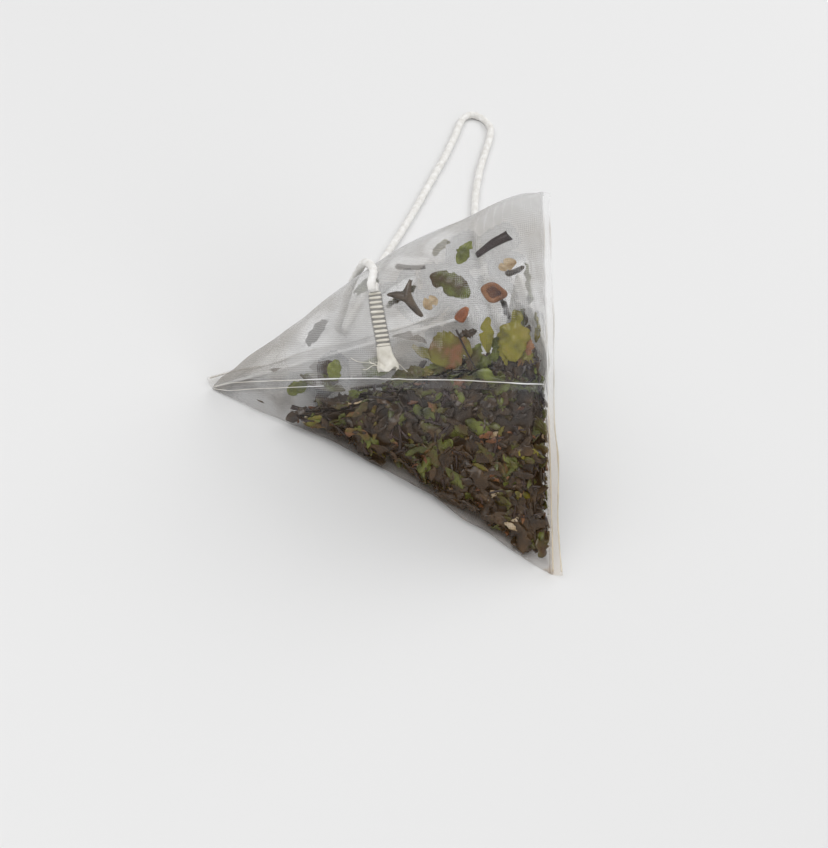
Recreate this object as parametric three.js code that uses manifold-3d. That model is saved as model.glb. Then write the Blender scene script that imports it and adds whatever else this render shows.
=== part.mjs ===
// Pyramid tea bag: a tube of mesh pressed shut at both ends by seals at right angles to each other.
// It holds leaf tea and hangs on a cotton string with a paper tag.
// Millimetres, +Z up. The bag lies on one of its faces, and the origin is on the ground below its middle.
import * as THREE from "three";
import { mergeVertices } from "three/addons/utils/BufferGeometryUtils.js";
import Module from "manifold-3d";

// The mesh bag
const sealWidth = 56; // length of each end seal
const sealSpacing = 39.6; // from the middle of one end seal to the middle of the other
const wall = 0.4;
const hollowLeast = 0.4; // height of the hollow where it runs out at the seals
const sealThickness = 0.7; // both walls, pressed together
const flatSealFin = 1.6; // how far the seal on the ground stands out past the pouch
const uprightSealFin = 1.5;
const bulge = 2.4; // how far the wet faces stand out at their middle
const backLift = 3; // how far the back face and its folds are drawn out halfway, where the string pulls
const foldRadius = 4; // of the soft folds, halfway between the seals
const foldRadiusAtSeals = 0.8;
const foldShare = 0.45; // the most of a section's half that a fold may take up, where it runs thin
const seamWidth = 1.5; // the long lap seam down the middle of the near face
const seamRise = 0.25;
const seamTop = 0.9; // width of its top, as a share of its foot
const seamShare = 0.8; // the most of the face that it takes up, at the near corner
const seamRunOut = 0.12; // how soon it sinks into the end seals
const turnDegrees = -39; // of the bag on the ground, from +X towards the low corner

// The open mesh
const meshGap = 3.25;
const meshPitch = 6;
const meshMargin = 2.4; // whole wall left beside folds and seals
const meshCutOver = 0.8; // how far a cut runs past the wall

// Room left between a piece and what it lies on
const clearance = 0.3;

// The tea bed, which has slid towards the upright seal
const bedStart = 11; // from the flat seal's line to where it starts to rise
const bedSlopeDegrees = 54;
const bedLeast = 1.1; // its height where it runs out
const bedBlend = 4; // how softly it runs out
const bedLean = 0.15; // how its top draws in, for its depth below the back, which leans out over the flat seal
const bedLump = 0.8; // the lumps on top
const bedLumpLength = 14;
const bedRelief = 1.5; // the most that its sides draw back from the mesh, between whole leaves
const bedReliefLength = 5.3;
const bedCell = 2.9; // the surface's facets
const bedColumns = 11; // its points up each side

// Leaves and bits
const looseLength = 8; // of the longest; the sizes of all loose pieces are shares of it
const leafThickness = 0.45;
const leafSegments = 8;
const leafTip = 0.06; // how far in its outline starts, so that a tip has some width
const leafNotch = 0.86; // width at the notches of its edge
const midribRise = 0.3;
const stalkSides = 5;

// The string and its weld
const stringDiameter = 1.2;
const stringSides = 6;
const stringSteps = 92;
const weldLength = 7.2; // ribbed part
const weldWidth = 1.9;
const weldRibs = 12;
const weldValley = 0.45;
const weldCrest = 0.8;
const weldTailLength = 3; // flared end below the ribs
const weldTailWidth = 2.6;
const weldNeckLength = 1; // where the ribs run out into the round string
const weldFootAlong = 27; // from the near corner, along the seam
const weldFootAcross = 1.8; // from the middle of the seam
const weldLeanDegrees = 98; // from the seam's direction

// The tag
const tagWidth = 20;
const tagHeight = 18;
const tagThickness = 0.5;
const tagCornerRadius = 1.5;
const tagChannelLength = 11; // the sleeve in the paper that holds the string's end
const tagChannelWall = 0.3;
const tagChannelFoot = 3.2; // its mouth, above the tag's lower edge
const tagFoot = 3.4; // from the lower fold of the far face out to the tag's lower edge
const tagAside = 9.5; // from the middle of that fold, towards the far corner
const tagLeanDegrees = 16; // from upright

const wasm = await Module();
wasm.setup();

// Solids and meshes

function signedVolume(geometry) {
  const { index, attributes } = geometry;
  const [a, b, c] = [new THREE.Vector3(), new THREE.Vector3(), new THREE.Vector3()];
  let six = 0;
  for (let i = 0; i < index.count; i += 3) {
    a.fromBufferAttribute(attributes.position, index.getX(i));
    b.fromBufferAttribute(attributes.position, index.getX(i + 1));
    c.fromBufferAttribute(attributes.position, index.getX(i + 2));
    six += a.dot(b.cross(c));
  }
  return six / 6;
}

// A closed body from vertices and triangles, with its faces turned outwards
function body(points, triangles) {
  const geometry = new THREE.BufferGeometry().setFromPoints(points);
  geometry.setIndex(triangles);
  if (signedVolume(geometry) < 0) {
    geometry.setIndex(triangles.toReversed());
  }
  geometry.computeVertexNormals();
  return geometry;
}

// A body through rings of points, each ring with as many points, closed at both ends by fans
function loft(rings) {
  const count = rings[0].length;
  const points = rings.flat();
  const triangles = [];
  for (let i = 0; i + 1 < rings.length; i++) {
    for (let j = 0; j < count; j++) {
      const next = (j + 1) % count;
      const [a, b] = [i * count + j, i * count + next];
      triangles.push(a, b, b + count, a, b + count, a + count);
    }
  }
  for (const [ring, first, flip] of [
    [rings[0], 0, true],
    [rings.at(-1), points.length - count, false],
  ]) {
    const middle = ring.reduce((sum, point) => sum.add(point), new THREE.Vector3()).divideScalar(count);
    const hub = points.push(middle) - 1;
    for (let j = 0; j < count; j++) {
      const edge = [first + j, first + ((j + 1) % count)];
      triangles.push(hub, ...(flip ? edge.reverse() : edge));
    }
  }
  return body(points, triangles);
}

function merged(geometry) {
  const bare = geometry.clone();
  bare.deleteAttribute("normal");
  bare.deleteAttribute("uv");
  return mergeVertices(bare);
}

function toSolid(geometry) {
  const closed = merged(geometry);
  return new wasm.Manifold(
    new wasm.Mesh({
      numProp: 3,
      vertProperties: new Float32Array(closed.attributes.position.array),
      triVerts: new Uint32Array(closed.index.array),
    }),
  );
}

function toGeometry(solid) {
  const mesh = solid.getMesh();
  const geometry = new THREE.BufferGeometry();
  geometry.setAttribute("position", new THREE.BufferAttribute(mesh.vertProperties, 3));
  geometry.setIndex(new THREE.BufferAttribute(mesh.triVerts, 1));
  geometry.computeVertexNormals();
  return geometry;
}

// Moves each vertex by a map from its own place to a place on the bag
function bent(geometry, map) {
  const closed = merged(geometry);
  const { position } = closed.attributes;
  const points = [];
  for (let i = 0; i < position.count; i++) {
    points.push(map(position.getX(i), position.getY(i), position.getZ(i)));
  }
  return body(points, Array.from(closed.index.array));
}

function piece(name, geometry, color, roughness = 0.8, opacity = 1) {
  const material = new THREE.MeshStandardMaterial({ color, roughness, metalness: 0 });
  material.opacity = opacity;
  material.transparent = opacity < 1;
  const mesh = new THREE.Mesh(geometry, material);
  mesh.name = name;
  return mesh;
}

// The pouch's form. In the bag's own frame the flat seal lies along Y, and the low corner is out along X.

const slant = Math.hypot(sealSpacing, sealWidth / 2); // height of each triangular face, and the seam's length
const faceSlope = slant / sealSpacing; // from a face's thickness to its width in a section
const nearCorner = new THREE.Vector3(0, -sealWidth / 2, 0);
const farCorner = new THREE.Vector3(0, sealWidth / 2, 0);
const lowCorner = new THREE.Vector3(slant, 0, 0);
const peak = new THREE.Vector3(
  (sealSpacing ** 2 - sealWidth ** 2 / 4) / slant,
  0,
  (sealWidth * sealSpacing) / slant,
);
const uprightSeal = peak.clone().sub(lowCorner).normalize();
const finOut = new THREE.Vector3(0, 1, 0).cross(uprightSeal); // from the flat seal to the upright one

const normalOf = (a, b, c) => b.clone().sub(a).cross(c.clone().sub(a)).normalize();
const nearNormal = normalOf(nearCorner, lowCorner, peak);
const farNormal = normalOf(farCorner, peak, lowCorner);
const backNormal = normalOf(nearCorner, peak, farCorner);
const groundNormal = new THREE.Vector3(0, 0, -1);

// Sections run from the flat seal, t = 0, to the upright seal, t = 1.
const halfWidth = (t) => THREE.MathUtils.lerp(sealWidth, sealThickness, t) / 2;
const lowEdge = (t) => lowCorner.clone().multiplyScalar(t);
const swell = (t) => 4 * t * (1 - t);
const straightEdge = (t) => new THREE.Vector3(0, 0, sealThickness).lerp(peak, t);
const highEdge = (t) => straightEdge(t).addScaledVector(backNormal, backLift * swell(t));
const halfHeight = (t) => highEdge(t).distanceTo(lowEdge(t)) / 2;

// How far a fold is rounded in a section with these halves
function foldRound(t, a, b) {
  return Math.min(foldRadiusAtSeals + foldRadius * swell(t), foldShare * Math.min(a, b));
}

// A point of the skin: x and y run from -1 to 1 across the section at t.
function skinPoint(t, x, y, inset = 0) {
  const shrink = inset * faceSlope;
  const low = lowEdge(t).addScaledVector(uprightSeal, shrink);
  const high = highEdge(t).addScaledVector(uprightSeal, -shrink);
  const point = low.lerp(high, (y + 1) / 2);
  point.y += x * (halfWidth(t) - shrink);
  point.addScaledVector(x < 0 ? nearNormal : farNormal, bulge * swell(t) * (1 - y * y));
  if (y > 0) {
    point.addScaledVector(backNormal, bulge * swell(t) * (1 - x * x));
  }
  return point;
}

// Faces: f runs from a face's tip (0) to its seal (1), and s from fold to fold (-1 to 1).
const faces = {
  near: { normal: nearNormal, place: (f, s) => [f, -1, s], half: halfHeight },
  far: { normal: farNormal, place: (f, s) => [f, 1, s], half: halfHeight },
  back: { normal: backNormal, place: (f, s) => [1 - f, s, 1], half: (f) => halfWidth(1 - f) },
  ground: { normal: groundNormal, place: (f, s) => [1 - f, s, -1], half: (f) => halfWidth(1 - f) },
};

// A place on a face in millimetres: along from its tip, across from its middle line, and out of the skin
function onFace(face, along, across, out) {
  const f = along / slant;
  const [t, x, y] = face.place(f, across / face.half(f));
  return skinPoint(t, x, y).addScaledVector(face.normal, out);
}

// One closed ring of skin at t, going up the near face, over the back, down the far face and along the ground
function skinRing(t, inset, seam, columns = 5) {
  const a = halfWidth(t) - inset * faceSlope;
  const b = halfHeight(t) - inset * faceSlope;
  const radius = foldRound(t, a, b);
  const [rx, ry] = [radius / a, radius / b];
  const ring = [];
  const add = (x, y) => ring.push(skinPoint(t, x, y, inset));
  const fold = (signX, signY, rising) => {
    for (const degrees of rising ? [30, 60] : [60, 30]) {
      const angle = THREE.MathUtils.degToRad(degrees);
      add(signX * (1 - rx + rx * Math.cos(angle)), signY * (1 - ry + ry * Math.sin(angle)));
    }
  };
  const steps = Array.from({ length: columns }, (_, step) => (2 * step) / (columns - 1) - 1);
  if (seam) {
    const edge = Math.min(seamWidth / 2 / b, seamShare * (1 - ry));
    const rise = seamRise * Math.min(1, swell(t) / seamRunOut);
    const between = (1 - ry + edge) / 2;
    add(-1, ry - 1);
    add(-1, -between);
    add(-1, -edge);
    for (const y of [-seamTop * edge, seamTop * edge]) {
      ring.push(skinPoint(t, -1, y).addScaledVector(nearNormal, rise));
    }
    add(-1, edge);
    add(-1, between);
    add(-1, 1 - ry);
  } else {
    steps.forEach((step) => add(-1, step * (1 - ry)));
  }
  fold(-1, 1, true);
  steps.forEach((step) => add(step * (1 - rx), 1));
  fold(1, 1, false);
  steps.forEach((step) => add(1, -step * (1 - ry)));
  fold(1, -1, true);
  [1, 0, -1].forEach((step) => add(step * (1 - rx), -1));
  fold(-1, -1, false);
  return ring;
}

const stations = [0.03, 0.08, 0.16, 0.26, 0.38, 0.5, 0.62, 0.74, 0.84, 0.92, 0.97];

// Where the pouch's inside runs out at the seals
const insideEnd = (inset) => (2 * inset * faceSlope + hollowLeast) / sealWidth;

// The pouch's inside, as a solid that stays the given distance inside the skin
function inside(inset) {
  const end = insideEnd(inset);
  const inner = stations.filter((t) => t > end && t < 1 - end);
  return toSolid(loft([end, ...inner, 1 - end].map((t) => skinRing(t, inset, false))));
}

// The mesh bag

function meshGaps() {
  const gaps = [];
  const depth = bulge + 2 * (wall + meshCutOver);
  const lastRow = slant - meshMargin - meshGap / 2;
  const firstColumn = seamWidth / 2 + meshMargin / 2 + meshGap / 2;
  for (const face of Object.values(faces)) {
    for (let along = lastRow; along > 0; along -= meshPitch) {
      const limit = face.half((along - meshGap / 2) / slant) - meshMargin - meshGap / 2;
      for (let across = firstColumn; across <= limit; across += meshPitch) {
        for (const side of [-1, 1]) {
          if (face === faces.near && underWeld(along, side * across)) {
            continue;
          }
          gaps.push(toSolid(gapPrism(face, along, side * across, depth)));
        }
      }
    }
  }
  return gaps;
}

function gapPrism(face, along, across, depth) {
  const middle = onFace(face, along, across, 0);
  const ahead = onFace(face, along + meshGap, across, 0).sub(middle);
  const side = new THREE.Vector3().crossVectors(face.normal, ahead).normalize();
  const forward = new THREE.Vector3().crossVectors(side, face.normal);
  const frame = new THREE.Matrix4().makeBasis(forward, side, face.normal).setPosition(middle);
  return new THREE.BoxGeometry(meshGap, meshGap, depth).applyMatrix4(frame);
}

// The mesh is whole behind the string's weld.
function underWeld(along, across) {
  const reach = weldTailLength + weldLength + weldNeckLength;
  const lean = THREE.MathUtils.degToRad(weldLeanDegrees);
  const foot = new THREE.Vector2(weldFootAlong, weldFootAcross);
  const step = new THREE.Vector2(along, across).sub(foot);
  const up = step.x * Math.cos(lean) + step.y * Math.sin(lean);
  const off = Math.abs(step.y * Math.cos(lean) - step.x * Math.sin(lean));
  const room = (weldTailWidth + meshGap) / 2;
  return off < room && up > -room && up < reach + room;
}

function meshBag() {
  const rings = [0, ...stations, 1].map((t) => skinRing(t, 0, true));
  const flatFin = rings[0].map((point) => point.clone().setX(point.x - flatSealFin));
  const uprightFin = rings.at(-1).map((point) => point.clone().addScaledVector(finOut, uprightSealFin));
  const skin = toSolid(loft([flatFin, ...rings, uprightFin]));
  const shell = skin.subtract(inside(wall));
  return toGeometry(meshGaps().reduce((rest, gap) => rest.subtract(gap), shell));
}

// The tea bed's form

const bedSlope = Math.tan(THREE.MathUtils.degToRad(bedSlopeDegrees));
const bedWave = (2 * Math.PI) / bedLumpLength;
const reliefWave = (2 * Math.PI) / bedReliefLength;
const bedBend = bedLump * bedWave ** 2 + bedSlope ** 2 / (2 * bedBlend); // the curvature of its top
const bedSag = (bedBend * bedCell ** 2) / 16; // how far a facet mostly stands proud of the curve

function bedHeight(x, y) {
  const rise = bedSlope * (x - bedStart);
  const heap = (rise + Math.hypot(rise, bedBlend)) / 2;
  const lumps = Math.sin(bedWave * x + 1) * Math.cos(bedWave * y) + 0.5 * Math.sin(1.7 * bedWave * (x + y));
  return bedLeast + heap + (bedLump * lumps * heap) / (heap + bedBlend);
}

// How far its side draws back from the mesh at a point this far below its top
function bedHollow({ x, y, z }, below) {
  const waves = Math.sin(reliefWave * x) * Math.cos(reliefWave * y) + Math.sin(reliefWave * (y + z));
  return Math.min(bedRelief, below / 2) * (0.5 + waves / 4);
}

// Loose pieces. Each is made flat, lengthwise along its own x, and then laid on a face or on the bed.

const clung = []; // where pieces cling to the mesh, how far they reach there and how deep

// Inside a face, against the mesh
function clinging(face, f, s, turnedDegrees) {
  const turned = THREE.MathUtils.degToRad(turnedDegrees);
  const [cos, sin] = [Math.cos(turned), Math.sin(turned)];
  const middle = onFace(face, f * slant, s * face.half(f), 0);
  const spot = { normal: face.normal, middle, reach: 0, depth: 0 };
  clung.push(spot);
  return (x, y, z) => {
    spot.reach = Math.max(spot.reach, Math.hypot(x, y));
    spot.depth = Math.max(spot.depth, wall + clearance + z);
    const along = f * slant + x * cos - y * sin;
    const across = s * face.half(f) + x * sin + y * cos;
    return onFace(face, along, across, -(wall + clearance + z));
  };
}

// On top of the tea bed: f runs from the flat seal to the upright seal, and s from wall to wall.
function lying(f, s, turnedDegrees) {
  const turned = THREE.MathUtils.degToRad(turnedDegrees);
  const [cos, sin] = [Math.cos(turned), Math.sin(turned)];
  const { x: middle } = skinPoint(f, 0, 0);
  const side = s * halfWidth(f);
  const grade = (bedHeight(middle + bedCell, side) - bedHeight(middle - bedCell, side)) / (2 * bedCell);
  const run = 1 / Math.hypot(1, grade);
  return (x, y, z) => {
    const px = middle + run * (x * cos - y * sin);
    const py = side + x * sin + y * cos;
    return new THREE.Vector3(px, py, bedHeight(px, py) + bedSag + clearance + z / run);
  };
}

// A torn leaf with a midrib: fullness above 1 blunts its outline, and curl lifts its edges.
function leaf(lengthShare, widthShare, fullness, curlShare, map) {
  const [length, width, curl] = [lengthShare, widthShare, curlShare].map((share) => share * looseLength);
  const rings = [];
  for (let i = 0; i <= leafSegments; i++) {
    const share = i / leafSegments;
    const x = (share - 0.5) * length;
    const outline = Math.sin(Math.PI * THREE.MathUtils.lerp(leafTip, 1 - leafTip, share)) ** (1 / fullness);
    const y = (width / 2) * outline * (i % 2 ? 1 : leafNotch);
    const lift = curl * (2 * share - 1) ** 2;
    const edge = lift + curl * outline;
    rings.push(
      [
        [-y, edge],
        [0, lift],
        [y, edge],
        [y, edge + leafThickness],
        [0, lift + leafThickness + midribRise],
        [-y, edge + leafThickness],
      ].map(([side, height]) => map(x, side, height)),
    );
  }
  return loft(rings);
}

// A tapered stalk, lying on its side
function stalk(lengthShare, thickShare, thinShare, map) {
  const [length, thick, thin] = [lengthShare, thickShare, thinShare].map((share) => share * looseLength);
  const rings = [0, 0.3, 0.65, 1].map((share) => {
    const radius = THREE.MathUtils.lerp(thick, thin, share) / 2;
    return Array.from({ length: stalkSides }, (_, side) => {
      const angle = (2 * Math.PI * side) / stalkSides;
      return map((share - 0.5) * length, radius * Math.sin(angle), radius * (1 + Math.cos(angle)));
    });
  });
  return loft(rings);
}

// A twig that forks into two arms
function forkedTwig(lengthShare, thickShare, map) {
  const length = lengthShare * looseLength;
  const arm = (start, degrees, reach) => {
    const angle = THREE.MathUtils.degToRad(degrees);
    const [cos, sin] = [Math.cos(angle), Math.sin(angle)];
    const laid = (x, y, z) => {
      const out = x + (reach * length) / 2;
      return new THREE.Vector3(start * length + out * cos - y * sin, out * sin + y * cos, z);
    };
    return toSolid(stalk(reach * lengthShare, thickShare, 0.7 * thickShare, laid));
  };
  const fork = arm(-0.5, 0, 0.6).add(arm(0, 38, 0.5)).add(arm(0, -44, 0.45));
  return bent(toGeometry(fork), map);
}

// A slice of dried fruit: a flattened ring
function fruitRing(diameterShare, thickShare, map) {
  const [diameter, thick] = [diameterShare * looseLength, thickShare * looseLength];
  const ring = new THREE.TorusGeometry((diameter - thick) / 2, thick / 2, 6, 12);
  return bent(ring, (x, y, z) => map(x, 0.9 * y, z + thick / 2));
}

// A lump of dried fruit
function fruitChunk(lengthShare, widthShare, heightShare, map) {
  const [length, width, height] = [lengthShare, widthShare, heightShare].map((share) => share * looseLength);
  const lump = new THREE.IcosahedronGeometry(0.5, 1);
  return bent(lump, (x, y, z) => {
    const dent = 1 - 0.16 * Math.sin(9 * x + 5 * y);
    return map(x * length * dent, y * width * dent, (z + 0.5) * height);
  });
}

const { near, far, back } = faces;
const oliveGreen = 0x6c6a2c;
const mossGreen = 0x4f5a26;
const yellowGreen = 0x8d8a3c;
const wetBrown = 0x4a3420;
const darkBrown = 0x33241b;
const paleStraw = 0xc9a877;

const loosePieces = [
  // seen through the near face
  piece("leaf_round", leaf(0.8, 0.62, 2.4, 0.03, clinging(near, 0.735, 0.21, 15)), yellowGreen),
  piece("leaf_broad", leaf(1, 0.55, 1.5, 0.04, clinging(near, 0.915, 0.27, 84)), yellowGreen),
  piece("leaf_olive", leaf(0.8, 0.5, 1.3, 0.04, clinging(near, 0.745, 0.645, -25)), oliveGreen),
  piece("leaf_sprig", leaf(0.5, 0.28, 1.1, 0.02, clinging(near, 0.785, 0.82, 60)), mossGreen),
  piece("leaf_blade", leaf(0.68, 0.22, 1.2, 0.02, clinging(near, 0.84, 0.29, 86)), mossGreen),
  piece("stick", stalk(0.68, 0.18, 0.1, clinging(near, 0.865, 0.805, 38)), darkBrown),
  piece("petal", leaf(0.38, 0.28, 2, 0.02, clinging(near, 0.905, 0.665, 30)), paleStraw),
  piece("fruit_ring", fruitRing(0.48, 0.14, clinging(near, 0.865, 0.53, 0)), 0x7a4a2a),
  piece("fruit_chunk", fruitChunk(0.42, 0.33, 0.2, clinging(near, 0.775, 0.43, 50)), 0xb0582c),
  piece("forked_twig", forkedTwig(0.75, 0.14, clinging(near, 0.62, 0.635, 128)), 0x6f5c48),
  piece("crumb_by_twig", leaf(0.3, 0.24, 2, 0.02, clinging(near, 0.685, 0.56, 40)), paleStraw),
  piece("crumb_by_seam_1", leaf(0.42, 0.28, 1.6, 0.02, clinging(near, 0.27, -0.1, 20)), mossGreen),
  piece("crumb_by_seam_2", leaf(0.4, 0.3, 1.6, 0.02, clinging(near, 0.39, 0.12, 75)), mossGreen),
  piece("leaf_by_seam_1", leaf(0.6, 0.3, 1.2, 0.02, clinging(near, 0.84, 0.04, -8)), mossGreen),
  piece("leaf_by_seam_2", leaf(0.58, 0.32, 1.4, 0.02, clinging(near, 0.615, 0.06, 12)), oliveGreen),
  // on the far face
  piece("leaf_far_1", leaf(0.9, 0.5, 1.2, 0.04, clinging(far, 0.7, 0.25, 30)), oliveGreen),
  piece("leaf_far_2", leaf(0.75, 0.55, 1.8, 0.03, clinging(far, 0.84, 0.52, 100)), mossGreen),
  piece("leaf_far_3", leaf(0.62, 0.38, 1.2, 0.02, clinging(far, 0.5, 0.32, -20)), wetBrown),
  piece("leaf_far_4", leaf(0.8, 0.42, 1.2, 0.03, clinging(far, 0.9, 0.28, 60)), yellowGreen),
  piece("stem_far", stalk(0.88, 0.11, 0.08, clinging(far, 0.66, 0.62, 20)), wetBrown),
  // on the back face
  piece("leaf_back_1", leaf(0.88, 0.52, 1.3, 0.04, clinging(back, 0.66, -0.4, 65)), mossGreen),
  piece("leaf_back_2", leaf(0.75, 0.45, 1.6, 0.03, clinging(back, 0.78, 0.2, -30)), oliveGreen),
  piece("leaf_back_3", leaf(0.68, 0.38, 1.2, 0.02, clinging(back, 0.52, 0.24, 20)), yellowGreen),
  piece("leaf_back_4", leaf(0.82, 0.48, 1.4, 0.03, clinging(back, 0.84, -0.52, 10)), wetBrown),
  piece("stem_back", stalk(0.8, 0.11, 0.08, clinging(back, 0.62, 0.05, 80)), darkBrown),
  // on top of the bed
  piece("leaf_bed_1", leaf(0.92, 0.5, 1.3, 0.05, lying(0.2, -0.55, 40)), oliveGreen),
  piece("leaf_bed_2", leaf(1, 0.52, 1.2, 0.05, lying(0.2, -0.05, -70)), mossGreen),
  piece("leaf_bed_3", leaf(0.88, 0.48, 1.5, 0.05, lying(0.22, 0.5, 25)), yellowGreen),
  piece("leaf_bed_4", leaf(0.92, 0.45, 1.2, 0.05, lying(0.46, -0.56, 10)), wetBrown),
  piece("leaf_bed_5", leaf(0.85, 0.5, 1.4, 0.05, lying(0.46, 0.1, 60)), oliveGreen),
  piece("leaf_bed_6", leaf(0.78, 0.42, 1.3, 0.05, lying(0.45, 0.68, -30)), mossGreen),
  piece("leaf_bed_7", leaf(0.75, 0.42, 1.2, 0.04, lying(0.64, -0.3, 80)), yellowGreen),
  piece("leaf_bed_8", leaf(0.68, 0.38, 1.4, 0.04, lying(0.66, 0.2, 20)), mossGreen),
  piece("stem_bed_1", stalk(1, 0.12, 0.08, lying(0.31, 0.24, -60)), darkBrown),
  piece("stem_bed_2", stalk(0.8, 0.11, 0.08, lying(0.31, -0.3, 80)), wetBrown),
];

// The tea bed's solid

// The bed gives way behind the pieces that cling to the mesh.
function giveWay(point) {
  for (const { normal, middle, reach, depth } of clung) {
    const lack = depth + clearance - middle.clone().sub(point).dot(normal);
    if (lack > 0 && point.distanceTo(middle) < reach + bedCell) {
      point.y = Math.sign(point.y) * Math.max(hollowLeast / 2, Math.abs(point.y) - lack * faceSlope);
    }
  }
  return point;
}

// A ring of its skin: the pouch's inside, cut off at the bed's top and hollowed below that
function bedRing(t, inset) {
  const middle = skinPoint(t, 0, 0);
  return skinRing(t, inset, false, bedColumns).map((point) => {
    const below = bedHeight(point.x, point.y) - point.z;
    if (below < 0) {
      point.x -= bedLean * below;
      point.z = bedHeight(point.x, point.y);
    } else {
      const inward = middle.clone().sub(point).normalize();
      point.addScaledVector(inward, bedHollow(point, below));
    }
    return giveWay(point);
  });
}

function teaBed() {
  const inset = wall + clearance;
  const end = insideEnd(inset);
  const count = Math.ceil(slant / bedCell);
  const rings = Array.from({ length: count + 1 }, (_, ring) =>
    bedRing(THREE.MathUtils.lerp(end, 1 - end, ring / count), inset),
  );
  return loft(rings);
}

// The string's weld: the end of the string pressed flat and ribbed on the near face

const weldLean = THREE.MathUtils.degToRad(weldLeanDegrees);

// A place on the near face, up the weld from its foot, aside from its middle line and out from the mesh
function onWeld(up, aside, out) {
  const along = weldFootAlong + up * Math.cos(weldLean) - aside * Math.sin(weldLean);
  const across = weldFootAcross + up * Math.sin(weldLean) + aside * Math.cos(weldLean);
  return onFace(near, along, across, clearance + out);
}

function weldRing(up, width, height, bottom = 0) {
  return [
    [-0.5, 0],
    [-0.5, 0.5],
    [-0.3, 1],
    [0.3, 1],
    [0.5, 0.5],
    [0.5, 0],
  ].map(([aside, out]) => onWeld(up, aside * width, bottom + out * height));
}

function stringWeld() {
  const rings = [
    weldRing(0, weldTailWidth, weldValley / 2),
    weldRing(0.5 * weldTailLength, 0.9 * weldTailWidth, weldValley),
  ];
  const ribPitch = weldLength / weldRibs;
  for (let rib = 0; rib < weldRibs; rib++) {
    const up = weldTailLength + rib * ribPitch;
    rings.push(weldRing(up, weldWidth, weldValley));
    rings.push(weldRing(up + ribPitch / 2, weldWidth, weldCrest));
  }
  rings.push(weldRing(weldTailLength + weldLength, weldWidth, weldValley));
  rings.push(weldRing(weldTailLength + weldLength + weldNeckLength, stringDiameter, stringDiameter));
  return loft(rings);
}

const bag = new THREE.Group();
bag.rotation.z = THREE.MathUtils.degToRad(turnDegrees);
const mesh = piece("mesh_bag", meshBag(), 0xd9d5c8, 0.45, 0.55);
bag.add(mesh, piece("tea_bed", teaBed(), wetBrown, 0.9), ...loosePieces);
bag.add(piece("string_weld", stringWeld(), 0xf1eee6, 0.75));
bag.updateMatrixWorld(true);
const box = new THREE.Box3().setFromObject(mesh, true);
bag.position.set(-(box.min.x + box.max.x) / 2, -(box.min.y + box.max.y) / 2, -box.min.z);
bag.updateMatrixWorld(true);

// The string, from the weld over the fold, down the back face and in a loop over the ground to the tag

const stringOut = clearance + stringDiameter / 2; // of its middle, from what it lies on
const weldTop = weldTailLength + weldLength + weldNeckLength + clearance;

// Across the soft fold between the near face and the back, at t
function overFold(t, out) {
  const [a, b] = [halfWidth(t), halfHeight(t)];
  const cut = (1 - Math.SQRT1_2) * foldRound(t, a, b);
  const middle = skinPoint(t, cut / a - 1, 1 - cut / b);
  return middle.addScaledVector(nearNormal.clone().add(backNormal).normalize(), out);
}

function stringRoute() {
  const fromWeld = [0, 0.8].map((up) => onWeld(weldTop + up, 0, stringDiameter / 2));
  const downBack = [
    [0.46, -0.72],
    [0.36, -0.48],
    [0.26, -0.32],
    [0.16, -0.2],
    [0.08, -0.14],
  ].map(([t, s]) => onFace(back, (1 - t) * slant, s * halfWidth(t), stringOut));
  const onGround = [
    [-11.6, 5.6, 2.5],
    [-11.3, 8.2, 1.05],
    [-10.9, 11.1, 0.65],
    [-10.2, 16.4, 0.65],
    [-9.4, 22, 0.65],
    [-8.6, 27.4, 0.65],
    [-7.5, 33.4, 0.65],
    [-6.3, 40, 0.65],
    [-4.9, 48.5, 0.65],
    [-3.5, 58, 0.65],
    [-2.1, 67.5, 0.65],
    [-1.3, 74.5, 0.65],
    [-0.9, 79, 0.65],
    [-0.4, 81.6, 0.65],
    [0.9, 83.5, 0.65],
    [2.9, 83.7, 0.65],
    [4.4, 82.2, 0.65],
    [4.8, 79.6, 0.65],
    [4.6, 74.5, 0.65],
    [4.3, 67.2, 0.65],
    [4.5, 59.7, 0.65],
    [5.2, 53, 0.65],
    [6.6, 46.4, 0.65],
    [8.4, 40, 0.65],
    [10.4, 33.4, 0.65],
    [12.8, 26.6, 0.65],
  ];
  const toTag = [
    [-1.8, -9.8, 0.2],
    [-1.6, -5, 0.22],
    [-1.5, -2.4, 0.3],
    [-1.3, -0.6, 1.2],
    [-tagChannelOut, 0, tagChannelFoot - clearance],
  ];
  return [
    ...[...fromWeld, overFold(0.52, stringOut), ...downBack].map((point) => bag.localToWorld(point)),
    ...onGround.map((place) => new THREE.Vector3(...place)),
    ...toTag.map((place) => tagStand.localToWorld(new THREE.Vector3(...place))),
  ];
}

function stringTube() {
  const section = Array.from({ length: stringSides }, (_, side) => {
    const angle = (2 * Math.PI * side) / stringSides;
    return new THREE.Vector2(Math.cos(angle), Math.sin(angle)).multiplyScalar(stringDiameter / 2);
  });
  const extrudePath = new THREE.CatmullRomCurve3(stringRoute(), false, "centripetal");
  return new THREE.ExtrudeGeometry(new THREE.Shape(section), { steps: stringSteps, extrudePath });
}

// The tag: two leaves of paper stuck together over the string's end, leaning on the far face

const tagChannelOut = tagThickness + stringOut;
const tagStand = new THREE.Group();
const foldAhead = farCorner.clone().sub(lowCorner).normalize();
const foldOut = farNormal.clone().setZ(0).normalize();
tagStand.position.lerpVectors(lowCorner, farCorner, 0.5);
tagStand.position.addScaledVector(foldAhead, tagAside).addScaledVector(foldOut, tagFoot);
const tagTurn = Math.atan2(-foldOut.y, -foldOut.x);
tagStand.rotation.set(0, THREE.MathUtils.degToRad(tagLeanDegrees), tagTurn, "ZYX");

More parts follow.
